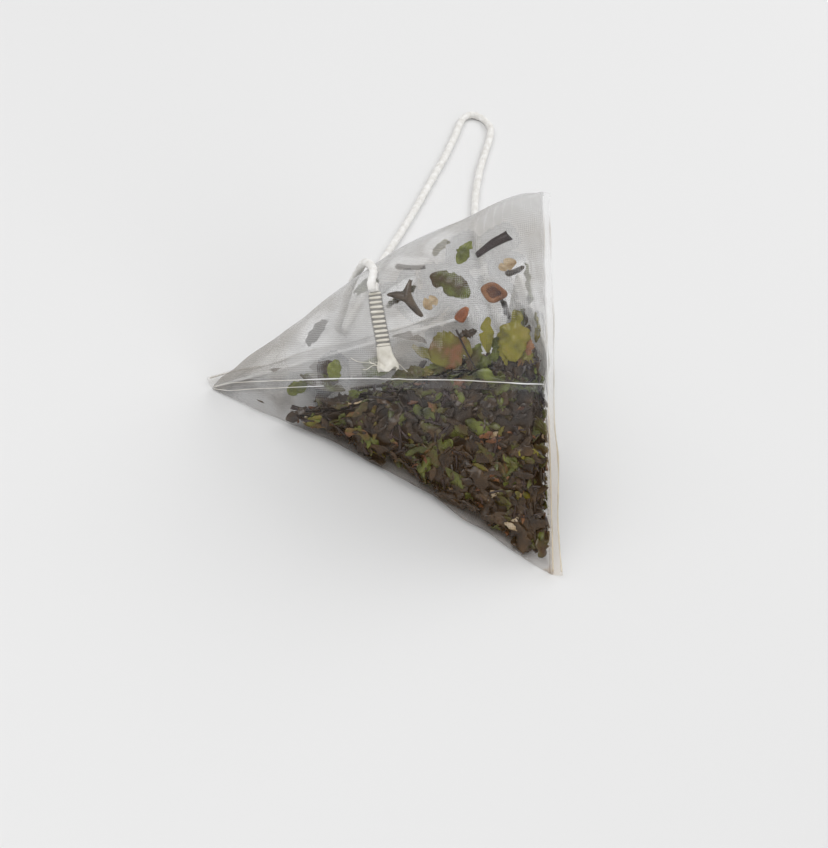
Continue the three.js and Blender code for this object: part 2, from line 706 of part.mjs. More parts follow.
function tagPaper() {
  const [w, h, r] = [tagWidth / 2, tagHeight, tagCornerRadius];
  const outline = new THREE.Shape();
  outline.moveTo(r - w, 0).lineTo(w - r, 0).absarc(w - r, r, r, -Math.PI / 2, 0);
  outline.lineTo(w, h - r).absarc(w - r, h - r, r, 0, Math.PI / 2);
  outline.lineTo(r - w, h).absarc(r - w, h - r, r, Math.PI / 2, Math.PI);
  outline.lineTo(-w, r).absarc(r - w, r, r, Math.PI, 1.5 * Math.PI);
  const paper = new THREE.ExtrudeGeometry(outline, {
    depth: tagThickness,
    bevelEnabled: false,
    curveSegments: 4,
  });
  paper.rotateX(Math.PI / 2).rotateZ(Math.PI / 2).translate(-tagThickness, 0, 0);
  const radius = stringOut + tagChannelWall;
  const sleeve = new THREE.CylinderGeometry(radius, radius, tagChannelLength, 12);
  sleeve.rotateX(Math.PI / 2).translate(-tagChannelOut, 0, tagChannelFoot + tagChannelLength / 2);
  return toGeometry(toSolid(paper).add(toSolid(sleeve)));
}

tagStand.add(piece("tag", tagPaper(), 0xf3efe4, 0.85));
bag.add(tagStand);
bag.updateMatrixWorld(true);

const root = new THREE.Group();
root.add(bag, piece("string", stringTube(), 0xf3f0e8, 0.9));

export default root;
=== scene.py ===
import math
from functools import partial

import bmesh
import bpy
import numpy as np
from mathutils import Matrix, Vector
from mathutils.bvhtree import BVHTree


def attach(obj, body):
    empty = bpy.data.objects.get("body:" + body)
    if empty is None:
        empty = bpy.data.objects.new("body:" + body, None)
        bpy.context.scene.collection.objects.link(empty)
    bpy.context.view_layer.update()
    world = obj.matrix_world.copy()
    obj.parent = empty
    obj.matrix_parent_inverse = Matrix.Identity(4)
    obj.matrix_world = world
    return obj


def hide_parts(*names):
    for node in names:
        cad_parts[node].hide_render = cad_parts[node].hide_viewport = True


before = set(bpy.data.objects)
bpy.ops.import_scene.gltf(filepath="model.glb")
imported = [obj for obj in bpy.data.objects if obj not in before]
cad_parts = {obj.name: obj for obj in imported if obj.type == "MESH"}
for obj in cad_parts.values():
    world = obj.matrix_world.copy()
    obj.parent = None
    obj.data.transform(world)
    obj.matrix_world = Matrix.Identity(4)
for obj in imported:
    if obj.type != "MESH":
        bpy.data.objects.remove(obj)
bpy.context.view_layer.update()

MM = 0.001
ROUND = 2 * math.pi

# The pouch, as the solids have it
SEAL_WIDTH = 56 * MM
SEAL_SPACING = 39.6 * MM
SEAL_THICKNESS = 0.7 * MM
FLAT_SEAL_FIN = 1.6 * MM
FLAT_SEAL_LIFT = 0.35 * MM
UPRIGHT_SEAL_FIN = 1.5 * MM
BULGE = 2.4 * MM
BACK_LIFT = 3 * MM  # of the back face and its folds, halfway between the seals
FOLD_RADIUS = 4 * MM
FOLD_RADIUS_AT_SEALS = 0.8 * MM
FOLD_SHARE = 0.45  # the most of a section's half that a fold takes up
FOLD_SPREAD = 1.15  # how far to each side a fold is averaged, for its radius
SEAM_WIDTH = 1.5 * MM
TURN = math.radians(-39)  # of the bag on the ground
SEAL_MIDDLE = np.array([-9.975, 4.376, 0]) * MM  # the flat seal's middle, in the row frame
LOWEST = 0.08 * MM  # the pouch's underside, above the floor

# The mesh and its wrinkles: a ripple is a height and a length, and a fade a start and a reach
GRID_ALONG = 162
GRID_AROUND = 380
THREAD_PITCH = 0.27 * MM
THREAD_RADIUS = 0.009 * MM
THREAD_LIFT = 0.9 * THREAD_RADIUS  # of the threads along the bag: those around it lie as far in
WARP_STEPS = 40
WEFT_STEPS = 92
RIPPLE_WAVES = 9
SLACK = (0.3 * MM, 15 * MM)
LUMPS = (0.22 * MM, 6 * MM)  # where tea lies behind the mesh
LUMPS_EDGE = 4 * MM
PLEATS, PLEATS_AROUND = 0.3 * MM, 18
PLEAT_SWAY = (1.6, 9 * MM)
PLEAT_FADE = (1.5 * MM, 6 * MM)
PUCKER, PUCKERS_AROUND = 0.35 * MM, 6
PUCKER_FADE = (1.2 * MM, 3.5 * MM)

# The long seam and the end seals
SEAM_FOOT, SEAM_HEAD = 0.3 * MM, 0.2 * MM  # how far it stops short of the seals
SEAM_ROOM = 1.2  # least height of the face for the seam's width, where it starts to taper
SEAM_TOP = np.array([0.1, 0.12, 0.12, 0.12, 0.1]) * MM  # from the mesh, across the seam
SEAM_UNDER = np.full(5, 0.05 * MM)
BEADS = ((0.3, 0.065 * MM, 1.0), (-0.3, 0.045 * MM, 0.36))  # place across, radius, share of the length
BEAD_OUT = 0.14 * MM
BEAD_RIPPLE = (0.2, 5 * MM)
FIN_DEPTH = np.array([-0.25, 0.0, 0.15, 0.3, 0.42, 0.6, 0.78, 0.88, 0.97, 1.0])  # for its width
FIN_THICK = np.array([0.5, 0.42, 0.26, 0.4, 0.24, 0.22, 0.24, 0.42, 0.4, 0.2]) * MM
FIN_RAGGED = (0.04, 6 * MM)
FIN_WAVE = (0.28 * MM, 14 * MM)
KNURL, KNURL_PITCH = 0.02 * MM, 0.8 * MM
SEAL_LINE = 0.1 * MM
SEAL_LINE_RIPPLE = (0.25, 4 * MM)

# The tea
CLING = 0.45 * MM  # from the mesh to a leaf that clings to it
LYING = 0.45 * MM  # from the bed to a leaf that lies on it
BED_START = 11 * MM
BED_SLOPE = math.tan(math.radians(54))
BED_LEAST = 1.1 * MM
BED_BLEND = 4 * MM
BED_THIN = 2.4 * MM  # less than this, the bed is only patches of crumbs
BED_LUMP = 0.8 * MM
BED_LUMP_LENGTH = 14 * MM
BED_STEP = 2 * MM  # to each side, to find its slope
WALL_ROOM = 0.2 * MM  # least room between tea and mesh
LEAF_WETS = 1.0 * MM  # how close a leaf wets the mesh through
BITS_WET = 1.9 * MM
BED_WETS = 2.8 * MM
DAMP_EDGE = 1.6  # how much further the mesh is damp, less and less
CORE_EDGE = 1.6 * MM  # longest edge of the settled mass
CORE_SUNK = 0.5 * MM  # below the fragments
CORE_RIPPLE = (0.2 * MM, 3 * MM)
CRUMB_PATCHES, CRUMBS_FROM = (1, 8 * MM), 0.7
LEAF_FLESH = 0.1 * MM
LEAF_VEINS = 7
VEIN_UNDER, VEIN_OVER = 0.05 * MM, 0.04 * MM
RIB_UNDER, RIB_OVER = 0.16 * MM, 0.12 * MM
LEAF_CRUMPLE = np.array([0.045, 0.42])  # a ripple, for the leaf's width
STALK_GROOVES, STALK_GROOVE = 4, 0.09
STALK_BREAK = 0.18 * MM  # how ragged its ends are
TWIG_ARMS = ((180, 3.5, 1.5), (38, 3.1, 1.6), (-44, 2.9, 1.5))  # bearing, length, thickness
TWIG_HEART = 0.3 * MM  # how far they run into each other
RING_OUTER, RING_THICK = 1.6 * MM, 0.8 * MM
PIT_RADIUS, PIT_THICK, PIT_LIFT = 1.15 * MM, 0.5 * MM, 0.1 * MM
CHUNK_SIZE = np.array([2.6, 1.7, 1.4]) * MM
CHUNK_RIPPLE = (0.08, 1.1)

# The string, its weld and the tag
STRING_DIAMETER = 1.2 * MM
STRING_RIPPLE = (0.05, 1.7 * MM)
PLIES, PLY_LAY = 3, 2.6 * MM
PLY_CORE, PLY_RISE = 0.4, 0.11  # for the string's diameter
FUZZ_COUNT = 260
FUZZ_LENGTH = (0.5, 1.3)  # millimetres
FUZZ_ROOT = 0.46  # from the string's middle, for its diameter
FUZZ_RADIUS = 0.016 * MM
WELD_FOOT = (27 * MM, 1.8 * MM)  # along the seam from the near corner, and across from it
WELD_LEAN = math.radians(98)
WELD_TAIL = 3 * MM
WELD_TAIL_WIDTH = 3.1 * MM
WELD_TAIL_THICK = 0.34 * MM
WELD_FLARE = WELD_TAIL + 0.4 * MM  # where the tail starts to widen
WELD_LENGTH = 7.2 * MM
WELD_WIDTH = 1.9 * MM
WELD_THICK = 0.62 * MM
WELD_NECK = 1 * MM
WELD_NECK_RISE = 0.7 * MM
WELD_NECK_WIDTH = 1.1 * STRING_DIAMETER
WELD_STRANDS, WELD_STRAND = 7, 0.08
WELD_FRAY = 0.35 * MM
WELD_OUT = 0.12 * MM
WELD_TOP = WELD_TAIL + WELD_LENGTH
WELD_ROUND = (WELD_TOP - 0.5 * MM, WELD_TOP + 0.1 * MM)  # where it turns from flat to round
WELD_LAP = 0.1 * MM  # of its stretches
WELD_BASE_FLAT = 0.55  # thickness under the ribs, as a share
WELD_RIBS = 12
RIB_HALF = 0.29  # for the ribs' pitch
RIB_MIDDLE, RIB_RISE = 0.36 * MM, 0.3 * MM
WISPS = ((4.2, 2.2, -0.9), (2.6, 0.5, -1.1), (1.8, -0.6, 0.8), (2.2, 1.4, -0.4))  # reach, rise, start
WISP_OUT, WISP_RADIUS = 0.1 * MM, 0.045 * MM
TAG_WIDTH = 20 * MM
TAG_HEIGHT = 18 * MM
TAG_CORNER = 1.5 * MM
TAG_PAPER = 0.5 * MM
TAG_FOOT = 3.4 * MM  # out from the lower fold of the far face
TAG_ASIDE = 9.5 * MM  # from the middle of that fold, towards the far corner
TAG_LEAN = math.radians(16)
TAG_SLEEVE = (3.2 * MM, 14.2 * MM)  # its ends, above the tag's lower edge
TAG_SLEEVE_MOUTH = (TAG_SLEEVE[0] - 0.6 * MM, TAG_SLEEVE[0] + 0.3 * MM)
TAG_SLEEVE_END = (TAG_SLEEVE[1] + 1.6 * MM, TAG_SLEEVE[1] - 0.6 * MM)
TAG_SLEEVE_OUT = 1.4 * MM
TAG_SLEEVE_RADIUS = 1.15 * MM
TAG_RIPPLE = (0.12 * MM, 14 * MM)

# The string's route in the row frame: from the weld over the fold, down the back, and in a loop to the tag
STRING_ROUTE = np.array([
    (-12.98, -12.35, 23.59), (-13.42, -11.84, 24.09), (-13.74, -9.54, 24.82), (-14.8, -5.87, 23.09),
    (-14.84, -2.83, 18.7), (-14.46, -0.56, 14.03), (-13.68, 1.31, 9.15), (-13.06, 2.23, 5.13),
    (-11.6, 5.6, 2.5), (-11.3, 8.2, 1.05), (-10.9, 11.1, 0.65), (-10.2, 16.4, 0.65),
    (-9.4, 22, 0.65), (-8.6, 27.4, 0.65), (-7.5, 33.4, 0.65), (-6.3, 40, 0.65),
    (-4.9, 48.5, 0.65), (-3.5, 58, 0.65), (-2.1, 67.5, 0.65), (-1.3, 74.5, 0.65),
    (-0.9, 79, 0.65), (-0.4, 81.6, 0.65), (0.9, 83.5, 0.65), (2.9, 83.7, 0.65),
    (4.4, 82.2, 0.65), (4.8, 79.6, 0.65), (4.6, 74.5, 0.65), (4.3, 67.2, 0.65),
    (4.5, 59.7, 0.65), (5.2, 53, 0.65), (6.6, 46.4, 0.65), (8.4, 40, 0.65),
    (10.4, 33.4, 0.65), (12.8, 26.6, 0.65), (15.5, 19.83, 0.69), (17.04, 15.28, 0.65),
    (17.86, 12.81, 0.7), (18.09, 10.97, 1.51), (17.96, 10.28, 3.17),
]) * MM

# The camera and the stage
IMAGE_HEIGHT = 848  # pixels, the picture's longer side
PIXELS_PER_METRE = 6640  # at the bag
CAMERA_DISTANCE = 0.42
CAMERA_AZIMUTH = math.radians(-10)
CAMERA_ELEVATION = math.radians(36)
CAMERA_ROLL = math.radians(29.2)
VIEW_ASIDE = -1.8 * MM  # of the row's origin from the picture's middle, to the right
VIEW_ABOVE = 4.5 * MM
LIGHTS = (  # a name, a place, size and power
    ("key", (-0.35, -0.25, 0.6), 0.5, 2.6),
    ("back", (0.25, 0.5, 0.45), 0.4, 1.6),
    ("fill", (0.5, -0.4, 0.35), 0.6, 0.7),
)


# Vectors

def unit(v):
    return v / np.maximum(np.linalg.norm(v, axis=-1, keepdims=True), 1e-12)


def lerp(a, b, share):
    return a + (b - a) * share


def smoothstep(low, high, value):
    share = np.clip((value - low) / (high - low), 0, 1)
    return share * share * (3 - 2 * share)


def fading(distance, start, reach):
    """A share that grows over the start and dies away over the reach."""
    return np.exp(-distance / reach) * (1 - np.exp(-distance / start))


def ripples(points, form, seed):
    """Smooth random heights at these points, to about the form's height to each side of 0."""
    height, length = form
    draw = np.random.default_rng(seed)
    total = np.zeros(points.shape[:-1])
    for _ in range(RIPPLE_WAVES):
        direction = unit(draw.normal(size=3))
        pitch = length * draw.uniform(0.7, 1.4)
        total += np.sin(points @ direction * (ROUND / pitch) + draw.uniform(0, ROUND))
    return height * (total / math.sqrt(RIPPLE_WAVES))


def circle(count):
    return np.linspace(0, ROUND, count, endpoint=False)


def spun(x, y, angle):
    """A place in a plane, turned about its origin."""
    cos, sin = math.cos(angle), math.sin(angle)
    return x * cos - y * sin, x * sin + y * cos


def turned(angle):
    cos, sin = math.cos(angle), math.sin(angle)
    return np.array([[cos, -sin, 0], [sin, cos, 0], [0, 0, 1]])


def to_row(points):
    """From the bag's own frame, with the flat seal along Y, to the row frame."""
    return points @ turned(TURN).T + SEAL_MIDDLE


def to_bag(points):
    return (points - SEAL_MIDDLE) @ turned(TURN)


def kept_above(points, level=LOWEST):
    points[..., 2] = np.maximum(points[..., 2], level)
    return points


# The pouch's form

SLANT = math.hypot(SEAL_SPACING, SEAL_WIDTH / 2)
PEAK = np.array([(SEAL_SPACING**2 - SEAL_WIDTH**2 / 4) / SLANT, 0, SEAL_WIDTH * SEAL_SPACING / SLANT])
LOW_CORNER = np.array([SLANT, 0, 0])
NEAR_CORNER = np.array([0, -SEAL_WIDTH / 2, 0])
FAR_CORNER = np.array([0, SEAL_WIDTH / 2, 0])
QUARTER = (SEAL_WIDTH + SEAL_THICKNESS) / 2  # of the way around the pouch
SEAM_SLOPE = PEAK[2] / (LOW_CORNER[0] + PEAK[0])  # of the level of the long seam, in the bag's frame

# The end seals: root, line, way out, width, lift and seed
FLAT_SEAL = (NEAR_CORNER, FAR_CORNER - NEAR_CORNER, np.array([-1.0, 0, 0]), FLAT_SEAL_FIN, FLAT_SEAL_LIFT, 31)
FIN_OUT = np.cross((0, 1, 0), unit(PEAK - LOW_CORNER))
UPRIGHT_SEAL = (LOW_CORNER, PEAK - LOW_CORNER, FIN_OUT, UPRIGHT_SEAL_FIN, 0, 33)
SEAL_LINES = ((UPRIGHT_SEAL, 0.12), (UPRIGHT_SEAL, 0.97), (FLAT_SEAL, 0.9))  # and how far out, for the width


def normal_of(a, b, c):
    return unit(np.cross(b - a, c - a))


NEAR_NORMAL = normal_of(NEAR_CORNER, LOW_CORNER, PEAK)
FAR_NORMAL = normal_of(FAR_CORNER, PEAK, LOW_CORNER)
BACK_NORMAL = normal_of(NEAR_CORNER, PEAK, FAR_CORNER)


def half_width(t):
    return lerp(SEAL_WIDTH, SEAL_THICKNESS, t) / 2


def half_height(t):
    return lerp(SEAL_THICKNESS, SEAL_WIDTH, t) / 2


def swell(t):
    return 4 * t * (1 - t)


def section_point(t, q):
    """A point at t, from the flat seal (0) to the upright one (1), and q around from the long seam."""
    a, b = half_width(t), half_height(t)
    q = (q + 2 * QUARTER) % (4 * QUARTER) - 2 * QUARTER
    near, back, ground = np.abs(q) <= b, (q > b) & (q < b + 2 * a), (q < -b) & (q > -b - 2 * a)
    far_y = np.where(q > 0, 2 * QUARTER - q, -2 * QUARTER - q) / b
    x = np.select([near, back, ground], [-1, (q - QUARTER) / a, -(q + QUARTER) / a], 1)
    y = np.select([near, back, ground], [q / b, 1, -1], far_y)
    low = t[..., None] * LOW_CORNER
    high = lerp(np.array([0, 0, SEAL_THICKNESS]), PEAK, t[..., None])
    high = high + BACK_NORMAL * (BACK_LIFT * swell(t))[..., None]
    point = lerp(low, high, (y[..., None] + 1) / 2)
    point[..., 1] += x * a
    rise = BULGE * swell(t)
    point += np.where((x < 0)[..., None], NEAR_NORMAL, FAR_NORMAL) * (rise * (1 - y * y))[..., None]
    return point + BACK_NORMAL * np.where(y > 0, rise * (1 - x * x), 0)[..., None]


def rounded_section(t, q):
    """The same with soft folds: each point is a mean over the fold's width."""
    limit = FOLD_SHARE * np.minimum(half_width(t), half_height(t))
    reach = FOLD_SPREAD * np.minimum(FOLD_RADIUS_AT_SEALS + FOLD_RADIUS * swell(t), limit)
    shares = np.linspace(-1, 1, 9)
    return sum(section_point(t, q + share * reach) for share in shares) / len(shares)


def grid_normals(points):
    along = np.gradient(points, axis=0)
    around = np.roll(points, -1, axis=1) - np.roll(points, 1, axis=1)
    return unit(np.cross(along, around))


def wrinkles(t, q, points):
    """How far the wet mesh stands out of its smooth form: slack, lumps of tea, pleats and puckers."""
    slack = ripples(points, SLACK, 1) * np.sqrt(swell(t))
    level = points[..., 2] - SEAM_SLOPE * points[..., 0]
    lumps = ripples(points, LUMPS, 2) * swell(t) * smoothstep(LUMPS_EDGE, -LUMPS_EDGE, level)
    pleats = 0
    for seal, seed in ((t, 3), (1 - t, 4)):
        turns = ROUND * q / (4 * QUARTER / PLEATS_AROUND)
        wave = np.sin(turns + ripples(points, PLEAT_SWAY, seed))
        pleats = pleats + PLEATS * wave * fading(seal * SLANT, *PLEAT_FADE)
    ahead, aside = t * SLANT - WELD_FOOT[0], q - WELD_FOOT[1]
    spokes = np.cos(PUCKERS_AROUND * np.arctan2(aside, ahead) + 1)
    pucker = PUCKER * spokes * fading(np.hypot(ahead, aside), *PUCKER_FADE)
    return slack + lumps + pleats + pucker


def build_skin():
    along = np.linspace(0, 1, GRID_ALONG + 1)
    around = np.linspace(-2, 2, GRID_AROUND, endpoint=False) * QUARTER
    t, q = np.meshgrid(along, around, indexing="ij")
    smooth = rounded_section(t, q)
    points = smooth + grid_normals(smooth) * wrinkles(t, q, smooth)[..., None]
    points = to_row(kept_above(points))
    return points, grid_normals(points)


skin_points, skin_normals = build_skin()


def skin(along, q, out=0.0):
    """A place on the mesh: along from the flat seal, q around from the long seam, out from the mesh."""
    along, q, out = np.broadcast_arrays(along, q, out)
    u = np.clip(along / SLANT, 0, 1) * GRID_ALONG
    v = (q / (4 * QUARTER) + 0.5) * GRID_AROUND % GRID_AROUND
    i = np.minimum(u.astype(int), GRID_ALONG - 1)
    j = v.astype(int) % GRID_AROUND
    k = (j + 1) % GRID_AROUND
    fu, fv = (u - i)[..., None], (v - np.floor(v))[..., None]

    def blend(grid):
        return lerp(lerp(grid[i, j], grid[i, k], fv), lerp(grid[i + 1, j], grid[i + 1, k], fv), fu)

    return blend(skin_points) + unit(blend(skin_normals)) * out[..., None]


def on_far(along, across, out):
    return skin(along, 2 * QUARTER - across, out)


def on_back(along, across, out):
    return skin(SLANT - along, QUARTER + across, out)


# Meshes: a body is its points and its faces

def strip_faces(rows, columns):
    """Faces of a grid of points that is closed along its rows."""
    row, j = np.arange(rows - 1)[:, None] * columns, np.arange(columns)
    k, after = (j + 1) % columns, row + columns
    return np.stack([row + j, after + j, after + k, row + k], -1).reshape(-1, 4).tolist()


def lofted(rings):
    """A closed body through rings with as many points each."""
    count, sides = rings.shape[:2]
    ends = [*range(sides)][::-1], [*range((count - 1) * sides, count * sides)]
    return rings.reshape(-1, 3), [*strip_faces(count, sides), *ends]


def gathered(bodies):
    """Several bodies as one."""
    points, faces, count = [], [], 0
    for body_points, body_faces in bodies:
        points.append(body_points)
        faces.extend([[count + k for k in face] for face in body_faces])
        count += len(body_points)
    return np.concatenate(points), faces


def tree_of(points, faces):
    return BVHTree.FromPolygons(points.tolist(), faces)


def add_object(name, data):
    item = bpy.data.objects.new(name, data)
    bpy.context.scene.collection.objects.link(item)
    return item


def add_piece(name, body, look, replaces=(), closed=True):
    points, faces = body
    mesh = bpy.data.meshes.new(name)
    mesh.from_pydata(points.tolist(), [], faces)
    if closed:
        work = bmesh.new()
        work.from_mesh(mesh)
        bmesh.ops.recalc_face_normals(work, faces=work.faces)
        work.to_mesh(mesh)
        work.free()
    mesh.polygons.foreach_set("use_smooth", [True] * len(mesh.polygons))
    mesh.materials.append(looks[look])
    piece = add_object(name, mesh)
    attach(piece, "root")
    SLOTS.get(look, look)
    if replaces:
        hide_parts(*replaces)
    return piece


film = (skin_points.reshape(-1, 3), strip_faces(*skin_points.shape[:2]))
wall = tree_of(*film)


# Materials

def feed(tree, node, inputs):
    """Gives a node's inputs values, or the outputs of other nodes."""
    for key, value in inputs.items():
        if isinstance(value, bpy.types.NodeSocket):
            tree.links.new(value, node.inputs[key])
        else:
            node.inputs[key].default_value = value


def add_node(tree, kind, output, inputs, **settings):
    node = tree.nodes.new("ShaderNode" + kind)
    for name, value in settings.items():
        setattr(node, name, value)
    feed(tree, node, inputs)
    return node.outputs[output]


def principled(name, colour, roughness, inputs):
    """A new material, with its node tree and its shader."""
    material = bpy.data.materials.new(name)
    material.use_nodes = True
    tree = material.node_tree
    shader = tree.nodes["Principled BSDF"]
    feed(tree, shader, {"Base Color": (*colour, 1), "Roughness": roughness, **inputs})
    return material, tree, shader


def object_place(tree):
    return add_node(tree, "TexCoord", "Object", {})


def noise(tree, scale, detail=4):
    inputs = {"Scale": scale, "Detail": detail, "Vector": object_place(tree)}
    return add_node(tree, "TexNoise", "Fac", inputs)


def ramp(tree, factor, stops):
    colour = add_node(tree, "ValToRGB", "Color", {"Fac": factor})
    elements = colour.node.color_ramp.elements
    while len(elements) < len(stops):
        elements.new(0.5)
    for element, (position, shade) in zip(elements, stops):
        element.position = position
        element.color = (*shade, 1)
    return colour


def mottled(name, stops, scale, roughness, relief, inputs):
    """A surface with colours that run into each other in patches, and a fine grain if it has relief."""
    material, tree, shader = principled(name, stops[0][1], roughness, inputs)
    feed(tree, shader, {"Base Color": ramp(tree, noise(tree, scale), stops)})
    if relief:
        grain = {"Height": noise(tree, 4 * scale), "Distance": relief, "Strength": 1.0}
        feed(tree, shader, {"Normal": add_node(tree, "Bump", "Normal", grain)})
    return material


STAIN_FROM, STAIN_TO = -12 * MM, 18 * MM  # the levels, from the long seam's, between which it fades
STAIN_PATCHES = 0.4
BLOTCHES = [(0.36, (0.66, 0.62, 0.56)), (0.6, (1, 1, 1))]


def stained(name, clear, amber, roughness, dim, alpha):
    """Mesh that is clear at the top, dimmer along the long seam and stained by the tea below it."""
    material, tree, shader = principled(name, clear, roughness, {"Alpha": alpha})
    axis = (*spun(-SEAM_SLOPE, 0, TURN), 1)
    seam = float(np.dot(axis, SEAL_MIDDLE))
    level = add_node(tree, "VectorMath", "Value", {0: object_place(tree), 1: axis}, operation="DOT_PRODUCT")
    ends = {"Value": level, "From Min": seam + STAIN_FROM, "From Max": seam + STAIN_TO}
    patches = {0: noise(tree, 160), 1: STAIN_PATCHES, 2: add_node(tree, "MapRange", "Result", ends)}
    stain = add_node(tree, "Math", "Value", patches, operation="MULTIPLY_ADD")
    between = [dim * channel for channel in clear]
    colours = {
        "Factor": 1,
        6: ramp(tree, stain, [(0.25, amber), (0.6, between), (1.0, clear)]),
        7: ramp(tree, noise(tree, 110, detail=3), BLOTCHES),
    }  # 6, 7 and the output 2 are the node's colours
    product = add_node(tree, "Mix", 2, colours, data_type="RGBA", blend_type="MULTIPLY")
    feed(tree, shader, {"Base Color": product})
    return material


LEAF_STOPS = {
    "leaf_olive": [(0.34, (0.07, 0.032, 0.009)), (0.5, (0.085, 0.075, 0.012)), (0.66, (0.16, 0.19, 0.025))],
    "leaf_moss": [(0.32, (0.03, 0.034, 0.005)), (0.5, (0.095, 0.11, 0.012)), (0.68, (0.19, 0.22, 0.035))],
    "leaf_yellow": [(0.32, (0.11, 0.095, 0.005)), (0.5, (0.24, 0.215, 0.008)), (0.7, (0.3, 0.24, 0.03))],
    "leaf_rusty": [(0.36, (0.24, 0.1, 0.04)), (0.5, (0.15, 0.105, 0.015)), (0.64, (0.2, 0.18, 0.018))],
    "leaf_bright": [(0.34, (0.075, 0.085, 0.01)), (0.5, (0.175, 0.195, 0.025)), (0.66, (0.26, 0.28, 0.06))],
    "tea_brown": [(0.3, (0.012, 0.006, 0.003)), (0.55, (0.05, 0.027, 0.01)), (0.78, (0.13, 0.072, 0.028))],
    "stalk_dark": [(0.3, (0.012, 0.006, 0.006)), (0.6, (0.04, 0.02, 0.018)), (0.85, (0.09, 0.05, 0.04))],
    "twig_grey": [(0.3, (0.04, 0.028, 0.018)), (0.55, (0.12, 0.085, 0.055)), (0.8, (0.2, 0.15, 0.09))],
    "petal": [(0.34, (0.34, 0.2, 0.08)), (0.5, (0.56, 0.43, 0.27)), (0.66, (0.7, 0.6, 0.46))],
    "fruit_brown": [(0.3, (0.07, 0.018, 0.005)), (0.55, (0.24, 0.09, 0.026)), (0.8, (0.42, 0.22, 0.1))],
    "fruit_orange": [(0.36, (0.22, 0.06, 0.015)), (0.5, (0.44, 0.14, 0.04)), (0.64, (0.6, 0.32, 0.16))],
    "fruit_dark": [(0.36, (0.02, 0.006, 0.003)), (0.5, (0.07, 0.02, 0.007)), (0.64, (0.13, 0.045, 0.015))],
}
DAMP = (0.5, 0.5, 0.51), (0.28, 0.17, 0.08), 0.2, 0.66  # the damp films' row, but for its opacity
MESH_LOOKS = {  # colour where clear and where stained, roughness, brightness at the seam, opacity
    "milky_film": ((0.7, 0.69, 0.68), (0.36, 0.24, 0.12), 0.3, 0.66, 0.42),
    "damp_film_1": (*DAMP, 0.33),
    "damp_film_2": (*DAMP, 0.24),
    "damp_film_3": (*DAMP, 0.15),
    "wet_film": ((0.4, 0.4, 0.42), (0.2, 0.1, 0.03), 0.12, 1, 0.06),
    "mesh_thread": ((0.82, 0.82, 0.83), (0.42, 0.27, 0.12), 0.4, 1, 1),
    "wet_thread": ((0.3, 0.3, 0.3), (0.14, 0.09, 0.04), 0.25, 1, 0.4),
    "pressed_film": ((0.9, 0.9, 0.9), (0.6, 0.42, 0.2), 0.12, 1, 0.12),
    "pressed_bead": ((0.95, 0.95, 0.95), (0.86, 0.78, 0.64), 0.3, 1, 1),
}
FIBRE_LOOKS = {  # colours, scale, roughness, relief and other inputs
    "cotton": (
        [(0.3, (0.74, 0.72, 0.68)), (0.7, (0.93, 0.92, 0.9))], 900, 0.85, 0.04 * MM, {"Sheen Weight": 0.3}
    ),
    "weld_cotton": ([(0.3, (0.6, 0.57, 0.49)), (0.7, (0.84, 0.81, 0.74))], 700, 0.7, 0.04 * MM, {}),
    # painted shade: the cotton that shows in the grooves between the weld's ribs is a dark grey for the shade
    # there
    "groove_shaded_cotton": ([(0.3, (0.24, 0.23, 0.22)), (0.7, (0.34, 0.33, 0.31))], 900, 0.5, 0, {}),
    "paper": ([(0.35, (0.86, 0.84, 0.79)), (0.65, (0.93, 0.92, 0.88))], 700, 0.9, 0.02 * MM, {}),
}
SLOTS = {  # of the looks that aren't named as their slots
    "leaf_rusty": "leaf_yellow", "leaf_bright": "leaf_moss", "fruit_dark": "fruit_brown",
    "weld_cotton": "cotton", "groove_shaded_cotton": "cotton", **dict.fromkeys(MESH_LOOKS, "mesh"),
}
looks = {
    look: mottled(look + "_wet", stops, 420, 0.42, 0.05 * MM, {"Coat Weight": 0.35, "Coat Roughness": 0.2})
    for look, stops in LEAF_STOPS.items()
}
for look, row in MESH_LOOKS.items():
    looks[look] = stained(look, *row)
for look, row in FIBRE_LOOKS.items():
    looks[look] = mottled(look, *row)


# The string

def run_along(points, power=1):
    """How far along each point is, by the steps between them to a power."""
    steps = np.linalg.norm(np.diff(points, axis=0), axis=1)
    return np.concatenate([[0], np.cumsum(steps**power)])


def smooth_path(points, step):
    """A centripetal Catmull-Rom curve through the points, sampled about evenly."""
    ends = np.concatenate([[2 * points[0] - points[1]], points, [2 * points[-1] - points[-2]]])
    knots = run_along(ends, power=0.5)
    path = []
    for n in range(1, len(ends) - 2):
        p, k = ends[n - 1 : n + 3], knots[n - 1 : n + 3]
        count = max(2, round(float(np.linalg.norm(p[2] - p[1]) / step)))
        s = np.linspace(k[1], k[2], count, endpoint=False)[:, None]
        a = [((k[m + 1] - s) * p[m] + (s - k[m]) * p[m + 1]) / (k[m + 1] - k[m]) for m in range(3)]
        b = [((k[m + 2] - s) * a[m] + (s - k[m]) * a[m + 1]) / (k[m + 2] - k[m]) for m in range(2)]
        path.append(((k[2] - s) * b[0] + (s - k[1]) * b[1]) / (k[2] - k[1]))
    return np.concatenate([*path, points[-1:]])


def path_frames(path):
    """Two cross directions at each point of a path, carried along it without twist."""
    ahead = unit(np.gradient(path, axis=0))
    not_along = (0.3, 0.2, 1)  # no path starts this way
    sides = [unit(np.cross(ahead[0], not_along))]
    for direction in ahead[1:]:
        sides.append(unit(sides[-1] - direction * np.dot(sides[-1], direction)))
    sides = np.array(sides)
    return sides, np.cross(ahead, sides)


def rings_around(angles, across, up):
    """Directions from each point of a path to a circle around it."""
    return np.cos(angles)[:, None] * across[..., None, :] + np.sin(angles)[:, None] * up[..., None, :]


def tube(path, radius, sides):
    radius = np.broadcast_to(radius, len(path))[:, None, None]
    return lofted(path[:, None] + radius * rings_around(circle(sides), *path_frames(path)))


